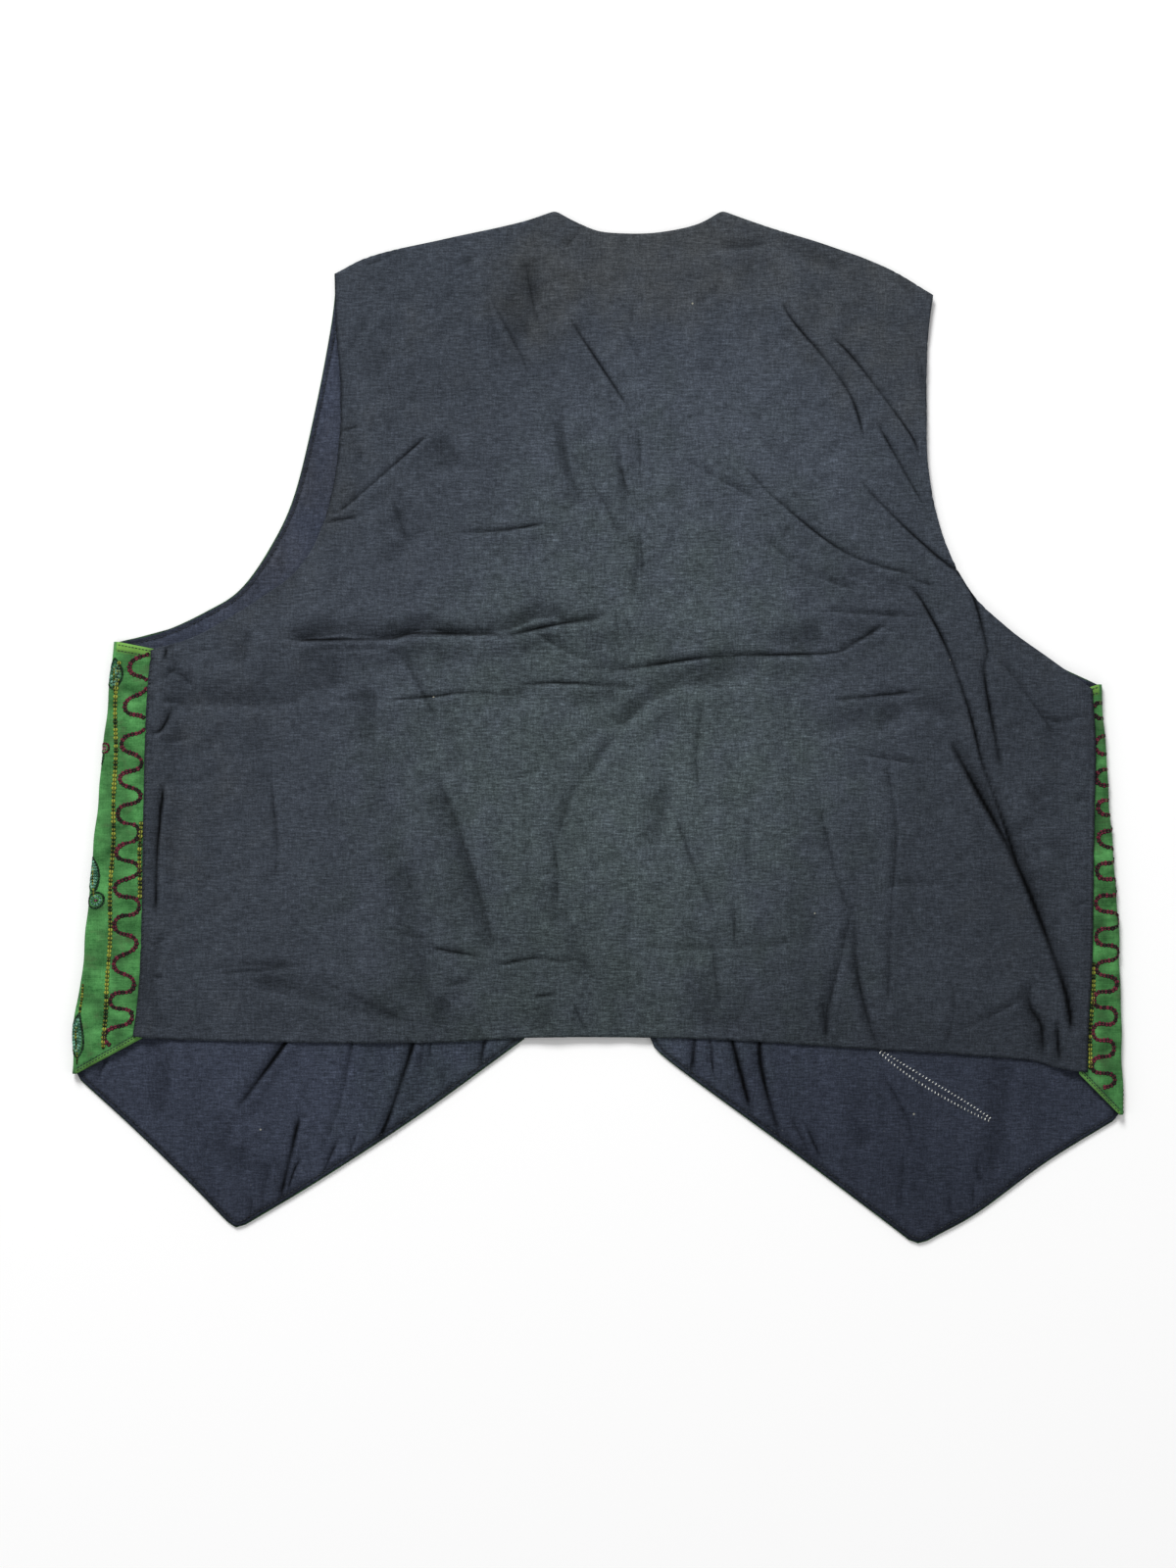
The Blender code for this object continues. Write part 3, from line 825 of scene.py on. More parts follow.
def charcoal_finish(name, colour, lightness, seed):
    """Matt handwoven charcoal cotton: fine slubs along the weft, lighter and darker in patches, painted shade
    in creases and at edges.
    """
    cloth = Finish(name, 0.95, sheen=0.01, specular=0.06)
    weft = cloth.noise((170, 900 + seed, 1), 2.0, 0.6)
    streak = cloth.noise((60, 520 + seed, 1), 2.0, 0.6)
    warp = cloth.noise((800 + seed, 150, 1), 2.0, 0.6)
    grain = cloth.noise(GRAIN, 2.0)
    band = cloth.noise((60 + seed, 10, 1), 3.0, 0.55)
    blotch = cloth.noise((38 + seed, 34, 1), 4.0, 0.62)
    threads = ((weft, 1.9), (streak, 0.5), (warp, 1.1), (grain, 1.5), (band, 0.46), (blotch, 0.18))
    value = cloth.total(0.0, *threads)
    worn = cloth.spread(cloth.value("warm"), 0.2, -0.8, 0.94, 1.25)
    value = cloth.math("POWER", 2.7, cloth.multiply(value, worn))
    # The shade values carry painted shade in creases and along edges, times the cloth's lightness from place
    # to place
    value = cloth.multiply(cloth.multiply(value, lightness), cloth.value("shade"))
    place = cloth.total(cloth.value("warm"), (blotch, 1.2))
    tint = cloth.mix(cloth.spread(place, 0.0, 1.0), (1, 1, 1, 1), BROWNISH)
    tint = cloth.mix(cloth.spread(place, 0.0, -1.0), tint, GREENISH)
    base = cloth.mix(1.0, cloth.times(colour, value), tint, "MULTIPLY")
    lint = cloth.specks(38, 0.023, 0.36)
    fleck = cloth.specks(160, 0.060, 0.10)
    base = cloth.mix(cloth.multiply(fleck, 0.28), base, srgb(120, 124, 128))
    base = cloth.mix(cloth.multiply(lint, 0.6), base, srgb(168, 166, 150))
    relief = cloth.math("ADD", weft, cloth.math("ADD", cloth.multiply(warp, 0.7), grain))
    cloth.bump(relief, 0.30, WEAVE_RELIEF)
    return cloth.colour(base)


def green_finish():
    """Fine green cotton, mottled where the dye has worn, paler along turned edges, and darkened where shade
    is painted.
    """
    cloth = Finish("green_cotton", 0.9, sheen=0.04)
    weft = cloth.noise((90, 1300, 1), 2.0, 0.6)
    warp = cloth.noise((1300, 90, 1), 2.0, 0.6)
    grain = cloth.noise(GRAIN, 2.0)
    blotch = cloth.noise((75, 110, 1), 4.0, 0.65)
    value = cloth.total(0.5, (weft, 0.8), (warp, 0.6), (grain, 0.8), (blotch, 2.2))
    base = cloth.mix(value, srgb(33, 84, 37), srgb(80, 143, 80))
    stain = cloth.spread(cloth.noise((60, 90, 1), 3.0, 0.6), 0.54, 0.70, 0.0, 0.45)
    base = cloth.mix(stain, base, srgb(74, 92, 60))
    base = cloth.mix(cloth.value("band"), base, srgb(124, 172, 74))
    # The shade values carry painted shade: the right front's painted shadow and darkened rims and grooves,
    # with random mottling
    base = cloth.times(base, cloth.value("shade"))
    cloth.bump(cloth.math("ADD", weft, cloth.math("ADD", warp, grain)), 0.3, WEAVE_RELIEF)
    return cloth.colour(base)


def thread_finish(name, dark, light):
    """Twisted thread: its tone values paint shade in the pits of each stitch and a highlight on its back, and
    vary from stitch to stitch.
    """
    thread = Finish(name, 0.75)
    twist = thread.noise((1500, 1500, 1500), 1.0)
    amount = thread.total(thread.value("tone"), (twist, 0.6))
    return thread.colour(thread.mix(amount, dark, light))


# ---- the back panel
# The back's largest folds, how far it may sink, and how sharply it then levels out
BACK_RISE, BACK_SINK, LEVELLING = 0.55, 0.45, 5.0
ALLOWANCE_WIDTH = 3.4
PEAK_ROUNDING = 4
# Height above which a painted shadow line shows along the back's left armhole edge
ARMHOLE_EDGE_Y = 118.0


def back_height(plan, rim, seams):
    """Height of the back's cloth and the painted shade of its creases."""
    inner = smooth_step(rim / LOFT_EDGE)
    folds, dark = crease_relief(plan, BACK_CREASES)
    lap = lap_height(plan, seams)
    below = np.maximum(lining_height(plan)[0], 0.0)
    height = BACK_Z + lap + below
    ridges = BACK_RISE * ridges_height(plan, BACK_RIDGES)
    height += inner * (LOFT + ridges + 0.30 * unevenness(plan, 1, 14, 50))
    height += 0.35 * unevenness(plan, 2, 60, 160) * inner
    height += (0.7 + 0.3 * inner) * folds
    height += seam_pucker(plan, seams)
    lowest = BACK_Z - BACK_SINK + 0.97 * lap + below
    height = lowest + np.logaddexp(0.0, LEVELLING * (height - lowest)) / LEVELLING
    allowance = seam_allowance(plan, seams)
    height += 0.25 * hump(allowance, 1.2, 1.2) - 0.30 * hump(allowance, 0.9, ALLOWANCE_WIDTH)
    return height, dark


def make_back():
    """The back panel's piece, its grid in plan, the heights of that grid, and its two side seams."""
    sides = {
        side: chain(
            curve(station_side(BACK_SIDES, side), BACK_ROWS_SIDE),
            curve(station_side(BACK_ARMHOLES, side), BACK_ROWS_ARMHOLE),
        )
        for side in ("left", "right")
    }
    top_lines = zip((LEFT_SHOULDER, NECKLINE, RIGHT_SHOULDER), BACK_COLUMNS)
    top = rounded(chain(*(curve(line, cells) for line, cells in top_lines)), PEAK_ROUNDING)
    hem = curve(BACK_HEM, len(top) - 1)
    plan = patch(hem, top, sides["left"], sides["right"])
    seams = [line[: BACK_ROWS_SIDE + 1] for line in sides.values()]
    rim = rim_distance(plan, *(line[::4] for line in (hem, top, *sides.values())))
    plan = gather(plan, BACK_CREASES, smooth_step(rim / 10.0))
    height, dark = back_height(plan, rim, seams)
    allowance = seam_allowance(plan, seams)
    shade, warm = tone_of(plan)
    # Painted shade on the back: the creases' dark lines and slopes, and a darker band along all its edges,
    # times its lightness from place to place
    shade = shade * (1 - dark) * (0.78 + 0.22 * smooth_step(rim / 2.2))
    # Painted shade in the groove of the side seams' allowance, and a painted shadow line at the back's side
    # edges
    shade *= 1 - 0.20 * hump(allowance, 1.0, ALLOWANCE_WIDTH) - 0.55 * hump(allowance, 0.9)
    # A painted shadow line along the left armhole's edge, where the back lies over the lining
    left_armhole = sides["left"][BACK_ROWS_SIDE:]
    armhole_shadow_shown = smooth_step((plan[..., 1] - ARMHOLE_EDGE_Y) / 20.0)
    shade *= 1 - 0.75 * armhole_shadow_shown * hump(rim_distance(plan, left_armhole), 1.1)
    vertices, faces = walled(plan, height, UNDER_STRIDE)
    values = {
        name: np.concatenate([tone.ravel(), tone[::UNDER_STRIDE, ::UNDER_STRIDE].ravel()])
        for name, tone in (("shade", shade), ("warm", warm))
    }
    piece = add_piece("back_cloth", vertices, faces, CHARCOAL, values)
    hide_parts("back_panel")
    return piece, plan, height, seams


# ---- the fronts
FOLD_WAVE = 0.45
STRIP_FLAT = 4.0


def strip_relief(plan):
    """Puckers of the strip on top of the side, across its length."""
    y = plan[..., 1]
    ripple = np.sin(2 * math.pi * y / 13.0 + 1.3 * np.sin(y / 21.0)) * 0.16
    return ripple + 0.12 * unevenness(plan, 11, 8, 30)


class Front:
    """One front: its outlines, and how its flat cut wraps round the side of the vest."""

    def __init__(self, side, seam):
        table = FRONTS[side]
        self.side = side
        self.table = table
        self.outward = table["outward"]
        fold = curve(table["silhouette"], FRONT_ROWS_SIDE)
        wave = np.sin(fold[:, 1] / 6.1) * np.sin(fold[:, 1] / 23.0 + 1.0)
        fold[:, 0] -= self.outward * (SHELL_FOLD + FOLD_WAVE * (1 + wave))
        self.fold = fold
        self.hem = [curve(table["hem_centre"], 60), curve(table["hem_side"], 50)]
        self.hem[1][-1] = fold[0]
        self.seam = seam
        self.hem_width = abs(fold[0, 0] - self.table["strip_hem"].x)

    def edges(self, rows_side, rows_armhole, columns):
        side_line = chain(resample(self.fold, rows_side), curve(self.table["armhole"], rows_armhole))
        hem = chain(*(resample(line, cells) for line, cells in zip(self.hem, columns)))
        centre = curve(self.table["centre"], len(side_line) - 1)
        shoulder = curve(self.table["shoulder"], len(hem) - 1)
        shoulder[:, 1] -= SHOULDER_INSET
        centre[-1] = shoulder[0]
        side_line[-1] = shoulder[-1]
        return hem, shoulder, centre, side_line

    def turned(self, line):
        """An edge from the table, run so that inward is on its left on both fronts."""
        return line if self.outward > 0 else line[::-1]

    def seam_points(self, rows):
        line = at_stops(self.seam, np.linspace(0, run_of(self.seam)[-1], rows + 1))
        line[0] = self.table["strip_hem"]
        line[:, 0] -= self.outward * SEAM_LAP
        return line

    def fold_x(self, y):
        return np.interp(y, self.fold[:, 1], self.fold[:, 0])

    def seam_x(self, y):
        return np.interp(y, self.seam[:, 1], self.seam[:, 0])

    def wrap(self, flat):
        """Places and outward directions of points of the flat cut, on the outer face of the cloth."""
        flat = np.asarray(flat, float)
        x, y = flat[..., 0], flat[..., 1]
        fold_x = self.fold_x(y)
        beyond = self.outward * (x - fold_x)
        angle = np.clip(beyond / SHELL_FOLD, 0.0, math.pi)
        past = np.maximum(beyond - math.pi * SHELL_FOLD, 0.0)
        before = np.minimum(beyond, 0.0)
        radius = SHELL_FOLD + WALL / 2
        place_x = fold_x + self.outward * (before + radius * np.sin(angle) - past)
        relief = smooth_step(past / STRIP_FLAT) * strip_relief(np.stack([place_x, y], axis=-1))
        place_z = SHELL_Z + SHELL_FOLD - radius * np.cos(angle) + relief
        places = np.stack([place_x, y, place_z], axis=-1)
        normals = np.stack([self.outward * np.sin(angle), np.zeros_like(y), -np.cos(angle)], axis=-1)
        return places, normals

    def unfold(self, x, y):
        """Flat-cut points of places that show on top of the strip."""
        fold_x = self.fold_x(y)
        inward = self.outward * (fold_x - x)
        return np.stack([fold_x + self.outward * (math.pi * SHELL_FOLD + inward), y], axis=-1)

    def beside_seam(self, distance, y):
        """Flat-cut points at a distance from the side seam, towards the fold."""
        return self.unfold(self.seam_x(y) + self.outward * distance, y)


def wrapped_sheet(front, plan, level, radius, rise, seam_line, relief):
    """A front's cloth: flat, round the fold and back over the top. Gives vertices, index grids, strips."""
    rows_side = len(seam_line) - 1
    vertices = [np.dstack([plan, level + rise]).reshape(-1, 3)]
    index = np.arange(len(vertices[0])).reshape(plan.shape[:-1])
    start = plan[: rows_side + 1, -1]
    strip = seam_line - start
    columns = [index[: rows_side + 1, -1]]
    count = len(vertices[0])
    for cell in range(1, FOLD_CELLS + STRIP_CELLS + 1):
        turned = min(cell, FOLD_CELLS) * math.pi / FOLD_CELLS
        past = max(cell - FOLD_CELLS, 0) / STRIP_CELLS
        place = start + past * strip + [front.outward * radius * math.sin(turned), 0.0]
        high = np.full(len(place), level + radius * (1 - math.cos(turned)))
        if relief and cell > FOLD_CELLS:
            width = np.linalg.norm(past * strip, axis=1)
            high = high + smooth_step(width / STRIP_FLAT) * strip_relief(place)
        vertices.append(np.column_stack([place, high]))
        columns.append(np.arange(count, count + len(place)))
        count += len(place)
    return np.vstack(vertices), index, np.array(columns).T


# The strip's turned ends: width of the paler band, how pale it is, and its rows of stitches
Turn = namedtuple("Turn", "width pale rows")
HEM_TURN = Turn(2.8, 0.35, (1.5, 3.8))
TOP_TURN = Turn(4.4, 0.65, (2.2, 5.0))
BAND_STITCH, BAND_PITCH = 1.6, 2.1
MOTTLE = 0.15


def make_shell(front):
    """A front's green outer cloth, with the turned ends of its strip."""
    hem, shoulder, centre, side_line = front.edges(FRONT_ROWS_SIDE, FRONT_ROWS_ARMHOLE, FRONT_COLUMNS)
    plan = patch(hem, shoulder, centre, side_line)
    seam_line = front.seam_points(FRONT_ROWS_SIDE)
    rise = np.zeros(plan.shape[:-1])
    vertices, index, strip = wrapped_sheet(front, plan, SHELL_Z, SHELL_FOLD, rise, seam_line, True)
    faces = grid_faces(index, front.outward > 0) + grid_faces(strip, front.outward > 0)
    # The green's lightness: a painted shadow on the right front from its table, and random mottling
    shade = np.full(len(vertices), front.table["shade"])
    shade += MOTTLE * unevenness(vertices[:, :2], 21, 9, 45, 30)
    # Painted shade on the green's rim along the hem, armhole and centre, darkening the rim that the light
    # catches
    edge_gap = rim_distance(plan, chain(*front.hem), curve(front.table["armhole"], 120), centre)
    shade[: index.size] *= (1 - 0.68 * (1 - smooth_step((edge_gap - 0.8) / 1.6))).ravel()
    ends = ((HEM_TURN, seam_line[0]), (TOP_TURN, seam_line[-1]))
    turns = [(turn, np.linalg.norm(seam_line - end, axis=1)) for turn, end in ends]
    pale = [turn.pale * (1 - smooth_step((gap - turn.width) / 0.8)) for turn, gap in turns]
    groove = np.minimum(sum(hump(gap, 0.7, turn.rows[-1]) for turn, gap in turns), 1.0)[:, None]
    on_top = strip[:, FOLD_CELLS:]
    band = np.zeros(len(vertices))
    band[on_top] = np.maximum(*pale)[:, None]
    # Painted shade in the grooves at each band's far stitch row, which are also pressed down
    shade[on_top] *= 1 - 0.40 * groove
    vertices[on_top, 2] -= 0.15 * groove
    thread = Stitching(91)
    for turn, gap in turns:
        for distance in turn.rows:
            line = vertices[on_top[np.argmin(np.abs(gap - distance))]] + [0.0, 0.0, WALL / 2]
            stops = np.arange(0.4, run_of(line)[-1] - BAND_STITCH, BAND_PITCH)
            up = np.tile([0.0, 0.0, 1.0], (len(stops), 1))
            thread.add(DASH, at_stops(line, stops), at_stops(line, stops + BAND_STITCH), up, 0.5, 0.25)
    thread.finish(f"band_stitches_{front.side}", SEAM_THREAD, "seam_thread")
    name = f"front_{front.side}_outer_cloth"
    piece = add_piece(name, vertices, faces, GREEN, {"band": band, "shade": shade})
    solidify(piece, WALL)
    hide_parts(f"front_{front.side}_shell")
    return piece


def closer_rows(rows):
    """Rows of points with extra ones put between those nearest the hem."""
    extra = [
        before + (after - before) * step / LINING_SPLIT
        for before, after in zip(rows[:LINING_FINE_ROWS], rows[1 : LINING_FINE_ROWS + 1])
        for step in range(LINING_SPLIT)
    ]
    return np.concatenate([np.array(extra), rows[LINING_FINE_ROWS:]])


def drawn_in(plan, rows_side):
    """The lining's grid with its free edges moved inward from the front's edges."""
    moved = plan.copy()
    for edge, inner in ((0, 1), (-1, -2)):
        step = plan[inner] - plan[edge]
        moved[edge] += LINING_INSET * step / np.linalg.norm(step, axis=-1, keepdims=True)
    for column, inner, rows in ((0, 1, slice(1, -1)), (-1, -2, slice(rows_side + 1, -1))):
        step = plan[rows, inner] - plan[rows, column]
        moved[rows, column] += LINING_INSET * step / np.linalg.norm(step, axis=-1, keepdims=True)
    return moved


def make_lining(front):
    """A front's charcoal lining, its grid in plan and the heights of that grid."""
    hem, shoulder, centre, side_line = front.edges(LINING_ROWS_SIDE, LINING_ROWS_ARMHOLE, LINING_COLUMNS)
    plan = closer_rows(drawn_in(patch(hem, shoulder, centre, side_line), LINING_ROWS_SIDE))
    seam_line = closer_rows(front.seam_points(LINING_ROWS_SIDE))
    rim = rim_distance(plan, chain(*front.hem), curve(front.table["armhole"], 90), centre)
    beside_fold = np.abs(plan[..., 0] - front.fold_x(plan[..., 1]))
    plan = gather(plan, LINING_CREASES, smooth_step(np.minimum(rim, beside_fold) / 9.0))
    rise, dark = lining_height(plan)
    rise *= smooth_step(rim / 7.0)
    rise += 0.30 * hump(rim, 2.0, 5.4) - 0.20 * hump(rim, 0.8, TOPSTITCH_INSET)
    rise *= np.where(plan[..., 1] < front.fold[-1, 1] + 4.0, smooth_step(beside_fold / 8.0), 1.0)
    rise[:, -1] = 0.0
    vertices, index, strip = wrapped_sheet(front, plan, LINING_Z, LINING_FOLD, rise, seam_line, False)
    faces = grid_faces(index, front.outward > 0) + grid_faces(strip, front.outward > 0)
    shade, warm = tone_of(vertices[:, :2])
    # Painted shade on the lining: the creases' dark lines and slopes, a band along the rounded edges where
    # the cloth slopes down, and a line in the topstitch's groove, times its lightness from place to place
    edge_painted_shade = 0.28 * (1 - smooth_step((rim - 2.2) / 1.6))
    groove_painted_shade = 0.40 * hump(rim, 0.9, TOPSTITCH_INSET)
    shade[: index.size] *= ((1 - dark) * (1 - edge_painted_shade - groove_painted_shade)).ravel()
    name = f"front_{front.side}_lining_cloth"
    piece = add_piece(name, vertices, faces, LINING, {"shade": shade, "warm": warm})
    solidify(piece, WALL)
    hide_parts(f"front_{front.side}_lining")
    return piece, plan, LINING_Z + rise


def surface_at(plan, height):
    """A function that gives the height of a grid of cloth at plan points, from the nearest vertex."""
    flat = plan.reshape(-1, 2)
    high = height.ravel()

    def at(points):
        nearest = [np.argmin((flat[:, 0] - x) ** 2 + (flat[:, 1] - y) ** 2) for x, y in points]
        return high[nearest]

    return at


# ---- embroidery and stitches
# Along and across a stitch of unit size, and how light its thread is painted there: painted shade at the
# ends, where the links overlap, and a painted highlight in the middle
LINK_STATIONS = ((-0.06, 0.04, -0.65), (0.64, 0.27, 0.60), (1.08, 0.10, -0.30))
LINK_SIDES = 3
STRAND = 0.25
FLOOR_GAP = 0.04


def link_template():
    """One chain stitch of unit length and width: two strands that part and meet. x runs along it."""
    vertices, faces, tones = [], [], []
    for side in (-1, 1):
        base = len(vertices)
        for along, out, tone in LINK_STATIONS:
            for corner in range(LINK_SIDES):
                turn = 2 * math.pi * corner / LINK_SIDES + math.pi / 2
                vertices.append((along, side * out + STRAND * math.cos(turn), STRAND * (1 + math.sin(turn))))
                # Painted highlight on the top of each strand, and painted shade underneath
                tones.append(tone + 0.35 * math.sin(turn))
        last = base + (len(LINK_STATIONS) - 1) * LINK_SIDES
        for here in range(base, last, LINK_SIDES):
            for corner in range(LINK_SIDES):
                one, two = here + corner, here + (corner + 1) % LINK_SIDES
                faces.append((one, two, two + LINK_SIDES, one + LINK_SIDES))
        faces.append(tuple(range(base + LINK_SIDES - 1, base - 1, -1)))
        faces.append(tuple(range(last, last + LINK_SIDES)))
    return np.array(vertices), faces, np.array(tones)


def dash_template():
    """One straight stitch of unit length and width, pointed at both ends."""
    vertices = [(0.0, 0.0, 0.15)]
    for along in (0.18, 0.82):
        for corner in range(4):
            turn = math.pi * corner / 2
            vertices.append((along, 0.5 * math.cos(turn), 0.5 + 0.5 * math.sin(turn)))
    vertices.append((1.0, 0.0, 0.15))
    faces = [(0, 1 + (corner + 1) % 4, 1 + corner) for corner in range(4)]
    faces += [(1 + corner, 1 + (corner + 1) % 4, 5 + (corner + 1) % 4, 5 + corner) for corner in range(4)]
    faces += [(9, 5 + corner, 5 + (corner + 1) % 4) for corner in range(4)]
    # Painted shade at the stitch's pointed ends and underneath, and a painted highlight along its top
    tones = [0.2] + [0.5 + 0.3 * math.sin(math.pi * corner / 2) for corner in range(4)] * 2 + [0.2]
    return np.array(vertices), faces, np.array(tones)


class Stitching:
    """Gathers stitches of one colour and makes one mesh of them."""

    def __init__(self, seed):
        self.draw = np.random.default_rng(seed)
        self.vertices, self.faces, self.tones = [], [], []
        self.count = 0

    def add(self, template, starts, ends, normals, width, height, tone_spread=0.55):
        """Stitches from each start to each end, as wide and high as given, lying on the cloth."""
        shape, faces, tones = template
        run = ends - starts
        length = np.linalg.norm(run, axis=1, keepdims=True)
        along = run / np.maximum(length, 1e-6)
        across = np.cross(normals, along)
        across /= np.maximum(np.linalg.norm(across, axis=1, keepdims=True), 1e-6)
        up = np.cross(along, across)
        size = 1 + 0.10 * self.draw.standard_normal(len(starts))[:, None, None]
        points = (
            starts[:, None]
            + shape[None, :, :1] * run[:, None]
            + shape[None, :, 1:2] * across[:, None] * width * size
            + shape[None, :, 2:3] * up[:, None] * height
        )
        points[..., 2] = np.maximum(points[..., 2], FLOOR_GAP)
        offsets = self.count + np.arange(len(starts)) * len(shape)
        self.vertices.append(points.reshape(-1, 3))
        for face in faces:
            self.faces += (offsets[:, None] + np.array(face)[None]).tolist()
        each = tones[None] + tone_spread * self.draw.uniform(-1, 1, (len(starts), 1))
        self.tones.append(each.ravel())
        self.count += len(starts) * len(shape)

    def finish(self, name, material, slot):
        if self.count:
            tones = {"tone": np.concatenate(self.tones)}
            add_piece(name, np.vstack(self.vertices), self.faces, material, tones)


LINK = link_template()
DASH = dash_template()
BARE_AT_HEM = 4.5
CHAIN_PITCH = 2.6
CHAIN_WIDTH = 3.1
FILL_WIDTH = 1.7
THREAD_HEIGHT, THREAD_HEIGHT_UNDER = 0.75, 0.62


def chain_row(stitching, front, line, pitch=CHAIN_PITCH, width=CHAIN_WIDTH):
    """A row of chain stitch along a line of the flat cut, except where the back panel covers it."""
    count = max(int(round(run_of(line)[-1] / pitch)), 1)
    places, normals = front.wrap(resample(line, count))
    middle = (places[:-1] + places[1:]) / 2
    beside = front.outward * (middle[:, 0] - front.seam_x(middle[:, 1]))
    hem_y = np.interp(beside, [0.0, front.hem_width], [front.table["strip_hem"].y, front.fold[0, 1]])
    shown = ((beside > 0.4) & (middle[:, 1] > hem_y + BARE_AT_HEM)) | (normals[:-1, 2] < 0.5)
    height = np.where(normals[:-1, 2] < 0.0, THREAD_HEIGHT_UNDER, THREAD_HEIGHT)[shown][:, None, None]
    stitching.add(LINK, places[:-1][shown], places[1:][shown], normals[:-1][shown], width, height)


BORDER_INNER = 1.4
BORDER_OUTER = 18.6
BORDER_CENTRE = 9.6
BORDER_SWING = 7.4
BORDER_PERIOD = 22.6
BORDER_BULGE = -1.25
WINE_PITCH, WINE_WIDTH = 2.2, 3.1


def serpentine(length, period, phase, seed, inset=0.0):
    """Places along and across a border of a line that loops from side to side."""
    draw = np.random.default_rng(seed)
    turns = np.arange(0, length / period, 0.02)
    knots = np.arange(0, int(length / period) + 3)
    ranges = ((-0.08, 0.08), (0.84, 1.10), (0.4, 1.8), (-0.9, 0.9))
    drift, reach, bulge, lean = (np.interp(turns, knots, draw.uniform(*ends, len(knots))) for ends in ranges)
    angle = 2 * math.pi * (turns + drift) + phase
    along = period * turns + BORDER_BULGE * bulge * np.sin(2 * angle) + lean * np.sin(angle)
    across = inset + BORDER_CENTRE + BORDER_SWING * reach * np.sin(angle)
    return along, across


def along_line(line, along, across):
    """Points at distances along a line and off to its left."""
    run = run_of(line)
    before, points, after = (at_stops(line, np.clip(along + step, 0, run[-1])) for step in (-4.0, 0.0, 4.0))
    ahead = after - before
    ahead /= np.maximum(np.linalg.norm(ahead, axis=1, keepdims=True), 1e-6)
    left = np.column_stack([-ahead[:, 1], ahead[:, 0]])
    return points + left * np.broadcast_to(across, len(points))[:, None]


def side_border(front, threads, period, phase, seed):
    """The border along the side seam, over the strip and round the fold."""
    low, high = front.fold[0, 1], front.seam[-1, 1] - 1.0
    y = np.linspace(low, high - 6.0, 200)
    outer = front.table["outer_row"] + 0.7 * np.sin(y / 31.0 + seed) + 0.45 * np.sin(y / 9.0)
    chain_row(threads["yellow"], front, front.beside_seam(outer, y))
    y = np.linspace(*front.table["inner_row"], 60)
    chain_row(threads["yellow"], front, front.beside_seam(BORDER_INNER + 0.4 * np.sin(y / 7.0), y))
    along, across = serpentine(high - low, period, phase, seed)
    down = along / along[-1]
    across = (0.86 + 0.16 * down) * across - 2.6 * (1 - smooth_step(down / 0.4))
    line = front.beside_seam(across, np.clip(high - along, low, high))
    chain_row(threads["wine"], front, line, WINE_PITCH, WINE_WIDTH)


def edge_border(front, threads, line, inset, seed):
    """The same border along another edge of the front, inside it; the line's left is inward."""
    length = run_of(line)[-1]
    for across in (inset, inset + BORDER_OUTER - BORDER_INNER):
        chain_row(threads["yellow"], front, along_line(line, np.arange(across, length - across, 2.0), across))
    along, across = serpentine(length - 2 * inset - BORDER_OUTER, BORDER_PERIOD, 0.0, seed, inset)
    chain_row(threads["wine"], front, along_line(line, along + inset + BORDER_OUTER / 2, across))


def motif_points(centre, angle, points):
    """Points of a motif turned by an angle from the neck, to the left, and set in its place."""
    turn = math.radians(angle)
    rotation = np.array([[math.cos(turn), math.sin(turn)], [-math.sin(turn), math.cos(turn)]])
    return np.asarray(points, float) @ rotation + np.asarray(centre, float)


def pen(front, threads, centre, angle=0.0):
    """A function that draws rows of a motif in chain stitch, at its place and angle."""

    def draw(colour, points, pitch, width=FILL_WIDTH):
        chain_row(threads[colour], front, motif_points(centre, angle, points), pitch, width)

    return draw


def leaf_outline(length, width, cells=40):
    t = np.linspace(0, 1, cells)
    half = 0.5 * width * np.sin(math.pi * t**0.8)
    right = np.column_stack([half, length * t])
    left = np.column_stack([-half[::-1], length * t[::-1]])
    return np.vstack([right, left[1:]])


def ring(radius, cells=26):
    turn = np.linspace(0, 2 * math.pi, cells)
    return np.column_stack([radius * np.sin(turn), radius * np.cos(turn)])


def leaf(front, threads, centre, angle, length, width):
    """A pointed leaf: dark outline, pale fill in rows and an olive vein."""
    draw = pen(front, threads, centre, angle)
    draw("dark", leaf_outline(length, width), 1.9)
    for share in (0.62, 0.28):
        draw("teal", leaf_outline(length * (0.55 + 0.4 * share), width * share) + [0.0, 0.12 * length], 1.8)
    draw("yellow", np.array([[0.0, -0.15 * length], [0.0, 0.7 * length]]), 1.9, 1.3)


def rosette(front, threads, centre, radius=3.6):
    """A round base: dark ring, pale ring and a pink eye."""
    draw = pen(front, threads, centre)
    draw("dark", ring(radius), 1.7)
    draw("teal", ring(radius * 0.58), 1.7)
    draw("pink", [[-1.0, 0.0], [1.0, 0.0]], 1.6, 1.5)


def bud(front, threads, centre, angle):
    """A small round bud on a stem."""
    draw = pen(front, threads, centre, angle)
    draw("wine", ring(3.0), 1.7)
    draw("pink", ring(1.2, 10), 1.5, 1.3)
    draw("dark", [[0.0, -3.4], [1.0, -10.0]], 1.9)


def sprig(front, threads, centre, angle):
    """Two leaves on a base, with a bud between them."""
    centre = np.asarray(centre, float)
    rosette(front, threads, centre)
    for lean in (-34, 34):
        tip = motif_points(centre, angle + lean, [[0.0, 4.5]])[0]
        leaf(front, threads, tip, angle + lean, 20.0, 8.0)
    bud(front, threads, motif_points(centre, angle, [[0.0, 17.0]])[0], angle)


def inside(polygon, point):
    x, y = point
    crossed = False
    for (x0, y0), (x1, y1) in zip(polygon, np.roll(polygon, -1, axis=0)):
        if (y0 > y) != (y1 > y) and x < (x1 - x0) * (y - y0) / (y1 - y0) + x0:
            crossed = not crossed
    return crossed


